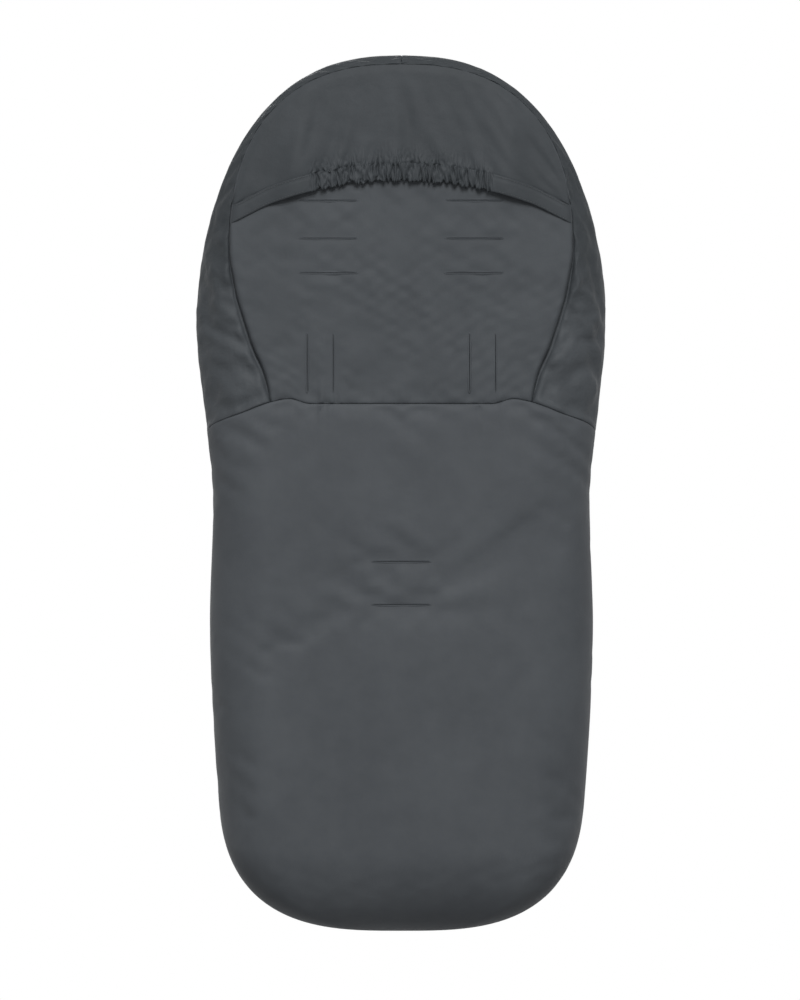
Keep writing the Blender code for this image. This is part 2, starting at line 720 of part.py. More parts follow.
def slot_ring(slot, grow, depth):
    """A slot's outline, made larger by grow all round, at a depth in the panel. slot is (across, height, upright)."""
    x, height, upright = slot
    outline = slot_outline(SLOT_LENGTH + 2 * grow, SLOT_OPENING + 2 * grow)
    along, across = outline[:, 0], outline[:, 1]
    if upright:
        along, across = -across, along
    return np.stack([x + along, np.full(len(along), depth), height - HANG_HEIGHT + across], axis=-1)


def slot_cutter(name, slots):
    """One helper that cuts all of the given slots."""
    points = []
    faces = []
    for slot in slots:
        grow = SLOT_FACING + GAP
        rings = np.stack([slot_ring(slot, grow, -CUT_OVERRUN), slot_ring(slot, grow, LAYERS + CUT_OVERRUN)])
        around = rings.shape[1]
        start = len(points)
        points.extend(rings.reshape(-1, 3))
        for i in range(around):
            j = (i + 1) % around
            faces.append((start + i, start + j, start + around + j, start + around + i))
        faces.append(tuple(start + i for i in range(around)))
        faces.append(tuple(start + around + i for i in range(around)))
    return as_cutter(new_object(name, points, faces, None))


def slot_facing(name, slot, material):
    """Turned-through strip that lines a slot, flush with the outer cloth and the lining."""
    outer = np.stack([slot_ring(slot, SLOT_FACING, 0), slot_ring(slot, SLOT_FACING, LAYERS)])
    inner = np.stack([slot_ring(slot, 0, 0), slot_ring(slot, 0, LAYERS)])
    tube(name, outer, inner, material)


def slot_facings(material):
    """Three rows of shoulder slots, two upright waist slots on each side and two crotch slots."""
    rows = ("top", "middle", "bottom")
    sides = (("left", -1), ("right", 1))
    for row, height in zip(rows, SHOULDER_SLOT_HEIGHTS):
        for word, side in sides:
            slot_facing(f"shoulder_slot_facing_{row}_{word}", (side * SHOULDER_SLOT_OFFSET, height, False), material)
    for place, offset in zip(("inner", "outer"), WAIST_SLOT_OFFSETS):
        for word, side in sides:
            slot_facing(f"waist_slot_facing_{place}_{word}", (side * offset, WAIST_SLOT_HEIGHT, True), material)
    for place, height in zip(("upper", "lower"), CROTCH_SLOT_HEIGHTS):
        slot_facing(f"crotch_slot_facing_{place}", (0, height, False), material)


# Seat pocket


def hem_foot(x):
    """Height of the pocket hem's lower edge, an arch between its two sewn ends."""
    return HEM_END_HEIGHT + HEM_RISE * (1 - (np.abs(x) / PANEL_HALF_WIDTH) ** HEM_ARCH)


def pocket_half_width():
    """Half the width between the hem's sewn ends."""
    return float(seam_half_width(HEM_END_HEIGHT + HEM_WIDTH)) - POCKET_INSET


def behind_pocket(x, height, share):
    """Depth of the pocket's inner face, which stands off the panel most in the middle of the hem."""
    seam = seam_half_width(height)
    turn = np.arctan2(np.maximum(height - SHOULDER_HEIGHT, 0), seam)
    panel = crease_depth(seam - np.abs(x), turn, height)
    middle = np.clip(1 - (x / pocket_half_width()) ** 2, 0, 1) ** POCKET_ROUND
    return panel - GAP - POCKET_BULGE * middle * (1 - share**POCKET_FADE)


def seat_pocket(material):
    """Panel of single cloth, sewn in with the wing seam round the head and open along its hem."""
    half = pocket_half_width() - POCKET_END_INSET
    x = half * np.sin(np.linspace(-math.pi / 2, math.pi / 2, 19))[None, :]
    share = np.array((0, 0.2, 0.45, 0.72, 1))[:, None]
    foot = hem_foot(x) + HEM_WIDTH + HEM_JOIN_GAP
    span = PANEL_TOP - POCKET_INSET - PANEL_WIDE_HEIGHT
    outline = (1 - (np.abs(x) / (PANEL_HALF_WIDTH - POCKET_INSET)) ** ARCH_ACROSS) ** (1 / PANEL_ARCH_UP)
    head = PANEL_WIDE_HEIGHT + span * outline
    height = foot + (head - foot) * share
    x = x + 0 * share
    inner = behind_pocket(x, height, share)
    points = np.stack([x, inner, height - HANG_HEIGHT], axis=-1)
    cloth = np.array((0, POCKET_CLOTH, 0))
    wall("seat_pocket", points - cloth, points, material)


def hem_stations():
    """Places across the hem: a few on each flat end, three to each ruffle between them."""
    half = pocket_half_width()
    flat = np.linspace(HEM_GATHER_HALF_WIDTH, half, 6)[1:]
    gathered = np.linspace(-HEM_GATHER_HALF_WIDTH, HEM_GATHER_HALF_WIDTH, 3 * RUFFLES + 1)
    return np.concatenate([-flat[::-1], gathered, flat])


def hem_rings(x, corners):
    """Rings of points across the hem. corners are (up the hem, away from the panel) for each ring."""
    foot = hem_foot(x)[:, None]
    up = corners[..., 0]
    back = behind_pocket(x, hem_foot(x) + HEM_WIDTH / 2, 0)[:, None]
    across = np.broadcast_to(x[:, None], up.shape)
    return np.stack([across, back - corners[..., 1], foot + up - HANG_HEIGHT], axis=-1)


def pocket_hem(cloth, rubber, pivot):
    """The hem is turned up into a channel, and the elastic in it gathers its middle into ruffles."""
    x = hem_stations()
    gather = ease((HEM_GATHER_HALF_WIDTH - np.abs(x)) / (HEM_GATHER_HALF_WIDTH / RUFFLES))
    wave = 0.5 + 0.5 * np.cos(2 * math.pi * RUFFLES * x / (2 * HEM_GATHER_HALF_WIDTH) + math.pi)
    ruffle = gather * wave
    zero = 0 * x
    face = HEM_THICKNESS + zero
    full = HEM_THICKNESS + HEM_FULLNESS + RUFFLE_HEIGHT * ruffle
    foot = -RUFFLE_SCALLOP * ruffle
    outer = [(foot, zero), (foot, face), (HEM_WIDTH / 2 + zero, full), (HEM_WIDTH + zero, face), (HEM_WIDTH + zero, zero)]
    side = (HEM_WIDTH - ELASTIC_WIDTH) / 2 - GAP
    low = HEM_INNER_WALL
    high = HEM_INNER_WALL + ELASTIC_THICKNESS + 2 * GAP
    inner = [(side, low), (side, high), (HEM_WIDTH / 2, high), (HEM_WIDTH - side, high), (HEM_WIDTH - side, low)]
    outer = np.stack([np.stack(corner, -1) for corner in outer], axis=1)
    inner = np.stack([np.stack([a + zero, b + zero], -1) for a, b in inner], axis=1)
    tube("pocket_hem", hem_rings(x, outer), hem_rings(x, inner), cloth, pivot)
    plain = np.concatenate([x[:5], x[5 : -5 : 6], x[-5:]])
    band = [
        (side + GAP, low + GAP),
        (side + GAP, high - GAP),
        (HEM_WIDTH - side - GAP, high - GAP),
        (HEM_WIDTH - side - GAP, low + GAP),
    ]
    rings = np.stack([np.stack([a + 0 * plain, b + 0 * plain], -1) for a, b in band], axis=1)
    sweep("pocket_hem_elastic", hem_rings(plain, rings), rubber, pivot)


# Rim binding


def rim_path():
    """Points, outward directions and edge directions of the wings' front edge, from the right zip over the head to the
    left one, with the thickness of the padded wall there."""
    rows = waist_rows()
    stations = wing_stations(rows)
    points, full = grid(1, stations, rows)
    normals = outward(points, stations[0])
    normals[-1, :, 0] = 0
    round_the_head = rows > RIM_START + WELD
    points, normals, full = points[round_the_head], unit(normals[round_the_head]), full[round_the_head]
    edge = points[:, -1]
    along = unit(points[:, -1] - points[:, -2])
    thick = LAYERS - WADDING * (1 - full[:, -1])
    mirror = np.array((-1, 1, 1))
    left = slice(-2, None, -1)
    edge = np.concatenate([edge, edge[left] * mirror])
    out = np.concatenate([normals[:, -1], normals[left, -1] * mirror])
    along = np.concatenate([along, along[left] * mirror])
    return edge, out, along, np.concatenate([thick, thick[left]])


def rim_rings(corners, path):
    """Rings round the rim. corners give (past the edge, out from the cloth) for each station."""
    edge, out, along, _ = path
    rings = [edge + along * past[:, None] + out * rise[:, None] for past, rise in corners]
    return np.stack(rings, axis=1)


def rim_binding(cloth, rubber):
    """Folded strip round the wings' raw edges, with an elastic in its fold that draws the head end in."""
    path = rim_path()
    thick = path[3]
    zero = 0 * thick
    flange = zero - BINDING_FLANGE
    turn = zero - BINDING_TURN
    web = zero + GAP + RIM_ELASTIC_THICKNESS + GAP
    outside = web + BINDING_CLOTH
    above = zero + GAP
    below = -thick - GAP
    profile = [
        (flange, above),
        (flange, above + BINDING_CLOTH),
        (outside, above + BINDING_CLOTH),
        (outside, below - BINDING_CLOTH),
        (turn, below - BINDING_CLOTH),
        (turn, below),
        (web, below),
        (web, above),
    ]
    crown = len(thick) // 2
    sweep("rim_binding", rim_rings(profile, path), cloth, turned=(6, 7), middle=crown)
    middle = -thick / 2
    reach = RIM_ELASTIC_WIDTH / 2
    near = zero + GAP
    far = near + RIM_ELASTIC_THICKNESS
    band = [(near, middle + reach), (far, middle + reach), (far, middle - reach), (near, middle - reach)]
    sweep("rim_elastic", rim_rings(band, path), rubber, turned=(3,), middle=crown)


# Zips


def zip_frame(side):
    """Directions of a zip: up its line, across it towards the cover, and out of the cloth."""
    foot = np.array([side * ZIP_FOOT_HALF_WIDTH, ZIP_FOOT_DEPTH, HINGE_HEIGHT])
    head = np.array([side * ZIP_CHEST_HALF_WIDTH, ZIP_CHEST_DEPTH, CHEST_HEIGHT])
    up = unit(head - foot)
    level = np.array([-side * math.cos(ZIP_LEAN), math.sin(ZIP_LEAN), 0])
    out = unit(np.cross(level, up)) * side
    return up, level, out


def zip_point(side, across, height, rise):
    """A point beside a zip: across is towards the cover, and rise is out of the outer face."""
    out_x, depth = zip_line(height)
    _, level, out = zip_frame(side)
    return np.array([side * out_x, depth, height - HANG_HEIGHT]) + level * across + out * rise


def zip_strip(name, side, near, far, rise_low, rise_high, foot, top, material, pivot=None):
    """A straight strip along a zip."""
    corners = ((near, rise_low), (far, rise_low), (far, rise_high), (near, rise_high))
    rings = [[zip_point(side, across, height, rise) for across, rise in corners] for height in (foot, top)]
    sweep(name, np.array(rings), material, pivot)


def zips(tape, coil, metal, cover_pivot):
    """On each side a tape and a coil on the bag, a tape and a coil on the cover, and a top stop on the bag's coil."""
    under = (-TAPE_DEPTH - TAPE_THICKNESS, -TAPE_DEPTH)
    over = (-COIL_HALF_HEIGHT, COIL_HALF_HEIGHT)
    half_gap = GAP / 2
    coil_edge = half_gap + COIL_WIDTH
    tape_edge = WADDING_EDGE - GAP
    for word, side in (("left", -1), ("right", 1)):
        zip_strip(f"zip_tape_bag_{word}", side, -half_gap, -tape_edge, *under, COIL_FOOT, TAPE_TOP, tape)
        zip_strip(f"zip_coil_bag_{word}", side, -half_gap, -coil_edge, *over, COIL_FOOT, BAG_COIL_TOP, coil)
        cover_edge = (half_gap, tape_edge)
        zip_strip(f"zip_tape_apron_{word}", side, *cover_edge, *under, COIL_FOOT, COIL_TOP, tape, cover_pivot)
        cover_edge = (half_gap, coil_edge)
        zip_strip(f"zip_coil_apron_{word}", side, *cover_edge, *over, COIL_FOOT, COIL_TOP, coil, cover_pivot)
        stop = (-COIL_HALF_HEIGHT, STOP_HEIGHT - COIL_HALF_HEIGHT)
        zip_strip(f"zip_stop_{word}", side, -half_gap, -coil_edge, *stop, STOP_FOOT, STOP_FOOT + STOP_LENGTH, metal)


def slider_heights():
    """Levels out of the zip's plane: top plate's underside and top, bottom plate's top and underside, pin's axis."""
    plate_foot = COIL_HALF_HEIGHT + GAP
    plate_top = plate_foot + SLIDER_PLATE
    floor_top = -TAPE_DEPTH - TAPE_THICKNESS - GAP
    pin = plate_top + GAP + PIN_RADIUS + GAP + PULLER_WALL
    return plate_foot, plate_top, floor_top, floor_top - SLIDER_PLATE, pin


def zip_solid(name, side, outline, along_low, along_high, material, pivot=None):
    """Extrudes an outline of (across, rise) points up a zip between two distances from the puller's pin."""
    up, level, out = zip_frame(side)
    square = unit(level - up * float(level @ up))
    centre = zip_point(side, 0, PIVOT_HEIGHT, 0)
    rings = []
    for along in (along_low, along_high):
        rings.append([centre + square * across + out * rise + up * along for across, rise in outline])
    return sweep(name, np.array(rings), material, pivot)


def slider(name, side, material, pivot):
    """Cast slider: two plates and a web, flanges round the coils, and two ears with a pin for the puller."""
    plate_foot, plate_top, floor_top, floor_foot, pin = slider_heights()
    edge = SLIDER_HALF_WIDTH
    flange = edge - SLIDER_FLANGE
    lip = -COIL_HALF_HEIGHT + GAP
    web_near = GAP
    web_far = GAP + SLIDER_WEB
    outline = [
        (-edge, plate_top),
        (-edge, lip),
        (-flange, lip),
        (-flange, plate_foot),
        (web_near, plate_foot),
        (web_near, floor_top),
        (-flange, floor_top),
        (-flange, floor_foot),
        (flange, floor_foot),
        (flange, floor_top),
        (web_far, floor_top),
        (web_far, plate_foot),
        (flange, plate_foot),
        (flange, lip),
        (edge, lip),
        (edge, plate_top),
    ]
    top = SLIDER_LENGTH / 3
    body = zip_solid(name, side, outline, top - SLIDER_LENGTH, top, material, pivot)
    inner = EAR_GAP / 2
    outer = inner + EAR_THICKNESS
    ear_top = pin + PIN_RADIUS + EAR_THICKNESS
    for number, way in enumerate((-1, 1)):
        ear = [
            (way * inner, plate_top - SLIDER_PLATE / 2),
            (way * outer, plate_top - SLIDER_PLATE / 2),
            (way * outer, ear_top),
            (way * inner, ear_top),
        ]
        helper = zip_solid(f"{name}_ear_{number}", side, ear, -EAR_HALF_LENGTH, EAR_HALF_LENGTH, None, pivot)
        combine(body, helper, "UNION")
    reach = inner + EAR_THICKNESS / 2
    combine(body, round_bar(f"{name}_pin", side, PIN_RADIUS, reach, pivot), "UNION")


def bar_ring(side, radius, across, steps=10):
    """A ring round the pin's axis, at a distance across the zip."""
    up, level, out = zip_frame(side)
    square = unit(level - up * float(level @ up))
    centre = zip_point(side, 0, PIVOT_HEIGHT, 0) + out * slider_heights()[4] + square * across
    angles = np.linspace(0, 2 * math.pi, steps, endpoint=False)
    return np.array([centre + radius * (out * math.cos(a) + up * math.sin(a)) for a in angles])


def round_bar(name, side, radius, reach, pivot):
    """A round bar across the zip, on the pin's axis."""
    return sweep(name, np.stack([bar_ring(side, radius, -reach), bar_ring(side, radius, reach)]), None, pivot)


def puller(name, side, material, pivot):
    """Tab with an eye round the slider's pin, hanging down over the chain."""
    inner = PIN_RADIUS + GAP
    outer = inner + PULLER_WALL
    reach = EAR_GAP / 2 - GAP
    eye = [np.stack([bar_ring(side, radius, -reach), bar_ring(side, radius, reach)]) for radius in (outer, inner)]
    body = tube(name, *eye, material, pivot)
    pin = slider_heights()[4]
    half = PULLER_THICKNESS / 2
    neck = reach - GAP
    slab = [(-neck, pin - half), (neck, pin - half), (neck, pin + half), (-neck, pin + half)]
    start = -inner - PULLER_WALL / 2
    stem = zip_solid(f"{name}_neck", side, slab, -PULLER_NECK - PULLER_CORNER, start, None, pivot)
    combine(body, stem, "UNION")
    up, level, out = zip_frame(side)
    square = unit(level - up * float(level @ up))
    wide = PULLER_HALF_WIDTH
    narrow = wide - PULLER_CORNER
    outline = (
        (-narrow, -PULLER_NECK),
        (narrow, -PULLER_NECK),
        (wide, -PULLER_NECK - PULLER_CORNER),
        (wide, PULLER_CORNER - PULLER_LENGTH),
        (narrow, -PULLER_LENGTH),
        (-narrow, -PULLER_LENGTH),
        (-wide, PULLER_CORNER - PULLER_LENGTH),
        (-wide, -PULLER_NECK - PULLER_CORNER),
    )
    centre = zip_point(side, 0, PIVOT_HEIGHT, 0)
    thicker = half + GAP / 2
    rings = [
        [centre + square * across + up * along + out * (pin + way * thicker) for across, along in outline]
        for way in (-1, 1)
    ]
    combine(body, sweep(f"{name}_tab", np.array(rings), None, pivot), "UNION")


# Assembly


def clear_scene():
    for obj in list(bpy.data.objects):
        bpy.data.objects.remove(obj)


def build():
    clear_scene()
    outer_cloth = new_material("slate_polyester", (0.078, 0.087, 0.094), 0.72)
    wing_cloth = new_material("dark_slate_polyester", (0.062, 0.070, 0.076), 0.74)
    wadding = new_material("white_wadding", (0.80, 0.80, 0.78), 0.95)
    fleece = new_material("grey_fleece", (0.30, 0.31, 0.32), 0.98)
    binding = new_material("dark_binding", (0.045, 0.050, 0.055), 0.80)
    facing = new_material("slot_facing_cloth", (0.050, 0.056, 0.060), 0.80)
    tape = new_material("zip_tape", (0.020, 0.021, 0.023), 0.85)
    coil = new_material("zip_coil", (0.015, 0.015, 0.016), 0.45)
    metal = new_material("dark_zip_metal", (0.10, 0.10, 0.105), 0.35, 0.9)
    rubber = new_material("white_elastic", (0.62, 0.62, 0.60), 0.85)

    apron_fold = new_pivot("apron_fold", Vector((0, front_depth(HINGE_HEIGHT), HINGE_HEIGHT - HANG_HEIGHT)))
    collar_fold = new_pivot("collar_fold", Vector((0, front_depth(CHEST_HEIGHT), CHEST_HEIGHT - HANG_HEIGHT)))
    hem_stretch = new_pivot("hem_stretch", Vector((0, -GAP, HEM_END_HEIGHT - HANG_HEIGHT - GAP)))

    back_panel((outer_cloth, wadding, fleece))
    wing("wing_left", -1, (wing_cloth, wadding, fleece))
    wing("wing_right", 1, (wing_cloth, wadding, fleece))
    lower_bag((outer_cloth, wadding, fleece))
    slot_facings(facing)
    seat_pocket(outer_cloth)
    pocket_hem(outer_cloth, rubber, hem_stretch)
    rim_binding(binding, rubber)
    layers = (outer_cloth, wadding, fleece)
    cover("apron", HINGE_HEIGHT + GAP, CHEST_HEIGHT - GAP / 2, COVER_ROW_SHARES, SHELL_EDGE, layers, apron_fold)
    collar_top = CHEST_HEIGHT + COLLAR_HEIGHT
    cover("collar", CHEST_HEIGHT + GAP / 2, collar_top, COLLAR_ROW_SHARES, COLLAR_EDGE, layers, collar_fold)
    zips(tape, coil, metal, apron_fold)
    for word, side in (("left", -1), ("right", 1)):
        axis_point = zip_point(side, 0, PIVOT_HEIGHT, slider_heights()[4])
        slide = new_pivot(f"zip_{word}_slide", Vector(zip_point(side, 0, PIVOT_HEIGHT, 0)))
        swing = new_pivot(f"puller_{word}_swing", Vector(axis_point))
        slider(f"slider_{word}", side, metal, slide)
        puller(f"puller_{word}", side, metal, swing)


build()
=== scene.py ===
import math

import bmesh
import bpy
import numpy as np
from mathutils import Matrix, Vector


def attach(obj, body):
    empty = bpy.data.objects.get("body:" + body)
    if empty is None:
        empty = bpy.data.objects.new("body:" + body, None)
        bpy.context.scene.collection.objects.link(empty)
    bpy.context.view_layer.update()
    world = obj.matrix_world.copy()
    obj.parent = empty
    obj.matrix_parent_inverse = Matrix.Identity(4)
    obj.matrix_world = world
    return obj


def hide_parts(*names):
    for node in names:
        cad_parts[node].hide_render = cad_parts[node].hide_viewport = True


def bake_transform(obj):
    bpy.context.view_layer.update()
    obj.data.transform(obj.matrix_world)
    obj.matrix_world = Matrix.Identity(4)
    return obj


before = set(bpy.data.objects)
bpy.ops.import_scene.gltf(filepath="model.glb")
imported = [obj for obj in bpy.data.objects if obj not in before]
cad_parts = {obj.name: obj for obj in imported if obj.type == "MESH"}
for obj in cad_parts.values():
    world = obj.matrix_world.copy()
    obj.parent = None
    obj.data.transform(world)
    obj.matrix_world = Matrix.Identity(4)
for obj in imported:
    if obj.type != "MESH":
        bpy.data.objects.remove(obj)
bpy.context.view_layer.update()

# Back panel
# The padded back that lies on the seat: slate polyester outside, wadding, and grey fleece towards the child.
# It is sewn to the wings down both sides and to the bag at the waist, and ten slots for the harness run
# through it.

# Heights are from the foot tip. These lengths are the solids' own.
LENGTH = 0.960
HANG_HEIGHT = LENGTH - 0.0155
HEAD_HALF_WIDTH = 0.2247
ARCH_RISE = 0.289
SHOULDER_HEIGHT = LENGTH - ARCH_RISE
ARCH_RUN = math.hypot(ARCH_RISE, HEAD_HALF_WIDTH)
WAIST_HALF_WIDTH = 0.2066
WAIST_HEIGHT = LENGTH - 0.495
BAG_HALF_WIDTH = 0.210
BAG_HEIGHT = 0.340
FOOT_HALF_WIDTH = 0.190
TOE_ROUND = 0.150
ARCH_ACROSS = 2.5
ARCH_UP = 1.93
TOE_ACROSS = 3.0
TOE_UP = 2.75
RIM_BAND = 0.0103
PANEL_TOP = LENGTH - RIM_BAND
PANEL_HALF_WIDTH = HEAD_HALF_WIDTH - 0.0362
PANEL_WIDE_HEIGHT = LENGTH - 0.212
PANEL_WAIST_HALF_WIDTH = WAIST_HALF_WIDTH - 0.0641
PANEL_ARCH_UP = 2.3
SEAM_HEIGHT_SHARES = (0.0, 0.19, 0.35, 0.545, 0.71, 1.0)
SEAM_WIDTH_SHARES = (0.0, 0.19, 0.45, 0.69, 0.86, 1.0)
WAIST_SEAM_HEIGHT = LENGTH - 0.3814
SEAM_DROP = 0.030
SEAM_REACH = 0.060
DROP_STATION_SHARES = (0.0, 0.14, 0.17, 0.2, 0.266, 0.334, 0.4, 0.6, 1.0)
DROP_SHARES = (0.0, 0.0, 0.18, 0.06, -0.38, -0.71, -1.0, -1.1, -1.1)
HINGE_HEIGHT = 0.090
CHEST_HEIGHT = LENGTH - 0.320
ZIP_LEAN = math.radians(24)
ZIP_FOOT_HALF_WIDTH = FOOT_HALF_WIDTH - 0.050
ZIP_FOOT_DEPTH = 0.118
ZIP_CHEST_HALF_WIDTH = HEAD_HALF_WIDTH - 0.0467
ZIP_CHEST_DEPTH = 0.069
ZIP_FLAT = 0.015
CROWN_ROUND = 2.2
TIP_SHARE = 0.5
CORNER_SHARE = 0.42
CORNER_FULLNESS = 1.1
RIM_DEPTH = 0.095
RIM_INSET = 0.006
RIM_LEAN = math.radians(70)
RIM_BLEND = 0.100
RIM_START = 0.6665
GAP = 0.0003
SHELL = 0.001
WADDING = 0.008
LINING = 0.0025
LAYERS = SHELL + GAP + WADDING + GAP + LINING
THIN_SHARE = 0.3
THINS_FROM = 2.2
THINS_OVER = 0.75
FRONT_THINS_TO = 4.6
FRONT_THINS_OVER = 0.55
MID_ZIP = 3.5
WING_FILL_SHARE = 0.65
BACKWARDS = np.array((0.0, -1.0, 0.0))
TINY = 1e-6
MM = 0.001
SIDES = (("left", -1), ("right", 1))


def ease(x):
    """0 up to x = 0, 1 from x = 1, and x squared times (3 - 2x) between."""
    x = np.clip(x, 0, 1)
    return x * x * (3 - 2 * x)


def bell(x):
    """1 at x = 0, falling away to 0 on both sides: e to the power of minus x squared."""
    return np.exp(-(x**2))


def smooth_through(x, places, values, flat_end=False):
    """A smooth curve through given points, read at x: cubic pieces whose slopes are the harmonic means of
    the slopes on both sides, so it never swings past a point."""
    places = np.asarray(places, float)
    values = np.asarray(values, float)
    steps = np.diff(places)
    rises = np.diff(values) / steps
    before, after = rises[:-1], rises[1:]
    same_way = before * after > 0
    inner = np.where(same_way, 2 * before * after / np.where(same_way, before + after, 1), 0)
    slopes = np.concatenate([[rises[0]], inner, [0 if flat_end else rises[-1]]])
    x = np.clip(x, places[0], places[-1])
    spot = np.clip(np.searchsorted(places, x, side="right") - 1, 0, len(steps) - 1)
    t = (x - places[spot]) / steps[spot]
    start = (1 + 2 * t) * (1 - t) ** 2 * values[spot] + t * t * (3 - 2 * t) * values[spot + 1]
    return start + steps[spot] * (t * (1 - t) ** 2 * slopes[spot] - t * t * (1 - t) * slopes[spot + 1])


def round_turn(count):
    """Angles evenly spaced round one turn."""
    return np.linspace(0, 2 * math.pi, count, endpoint=False)


def unit(vectors):
    """Vectors divided by their length."""
    length = np.linalg.norm(vectors, axis=-1, keepdims=True)
    return vectors / np.where(length > TINY * MM, length, 1)


def half_width(height):
    """Half the muff's width below the shoulder: a smooth curve through four widths, times a rounded toe."""
    heights = (0, BAG_HEIGHT, WAIST_HEIGHT, SHOULDER_HEIGHT)
    widths = (FOOT_HALF_WIDTH, BAG_HALF_WIDTH, WAIST_HALF_WIDTH, HEAD_HALF_WIDTH)
    side = smooth_through(height, heights, widths, flat_end=True)
    left = np.clip(1 - height / TOE_ROUND, 0, 1)
    return side * (1 - left**TOE_UP) ** (1 / TOE_ACROSS)


def seam_half_width(height):
    """Half the panel's width: a smooth curve through shares of its widths, times a rounded arch at the
    crown."""
    heights = WAIST_SEAM_HEIGHT + (PANEL_WIDE_HEIGHT - WAIST_SEAM_HEIGHT) * np.asarray(SEAM_HEIGHT_SHARES)
    spread = PANEL_HALF_WIDTH - PANEL_WAIST_HALF_WIDTH
    widths = PANEL_WAIST_HALF_WIDTH + spread * np.asarray(SEAM_WIDTH_SHARES)
    side = smooth_through(height, heights, widths, flat_end=True)
    rise = np.clip((height - PANEL_WIDE_HEIGHT) / (PANEL_TOP - PANEL_WIDE_HEIGHT), 0, 1)
    return side * (1 - rise**PANEL_ARCH_UP) ** (1 / ARCH_ACROSS)


SEAM_HEIGHTS = SHOULDER_HEIGHT + (PANEL_TOP - SHOULDER_HEIGHT) * (1 - (1 - np.linspace(0, 1, 400)) ** 3)
SEAM_TURNS = np.arctan2(SEAM_HEIGHTS - SHOULDER_HEIGHT, seam_half_width(SEAM_HEIGHTS))
SEAM_REACHES = np.hypot(SEAM_HEIGHTS - SHOULDER_HEIGHT, seam_half_width(SEAM_HEIGHTS))


def zip_line(height):
    """How far out and how far forward a zip runs: a straight line from foot to chest."""
    share = (height - HINGE_HEIGHT) / (CHEST_HEIGHT - HINGE_HEIGHT)
    across = ZIP_FOOT_HALF_WIDTH + share * (ZIP_CHEST_HALF_WIDTH - ZIP_FOOT_HALF_WIDTH)
    return across, ZIP_FOOT_DEPTH + share * (ZIP_CHEST_DEPTH - ZIP_FOOT_DEPTH)


def front_depth(height):
    """Depth of the front's middle: the crown leaves the zip at the zip's own lean."""
    across, depth = zip_line(height)
    across = across - ZIP_FLAT * math.cos(ZIP_LEAN)
    return depth + ZIP_FLAT * math.sin(ZIP_LEAN) + across * math.tan(ZIP_LEAN) / CROWN_ROUND


def round_head(s):
    """Turn and distance from the middle of the shoulder line to the outline and to the wing seam: below the
    shoulder the half widths, above it a rounded arch whose turn goes to a right angle at the crown."""
    arch = np.clip((s - SHOULDER_HEIGHT) / ARCH_RUN, 0, 1) * math.pi / 2
    level = np.minimum(s, SHOULDER_HEIGHT)
    across = half_width(level) * np.cos(arch) ** (2 / ARCH_ACROSS)
    rise = ARCH_RISE * np.sin(arch) ** (2 / ARCH_UP)
    turn = np.arctan2(rise, across)
    seam = np.where(s > SHOULDER_HEIGHT, np.interp(turn, SEAM_TURNS, SEAM_REACHES), seam_half_width(level))
    return level, turn, np.hypot(across, rise), seam


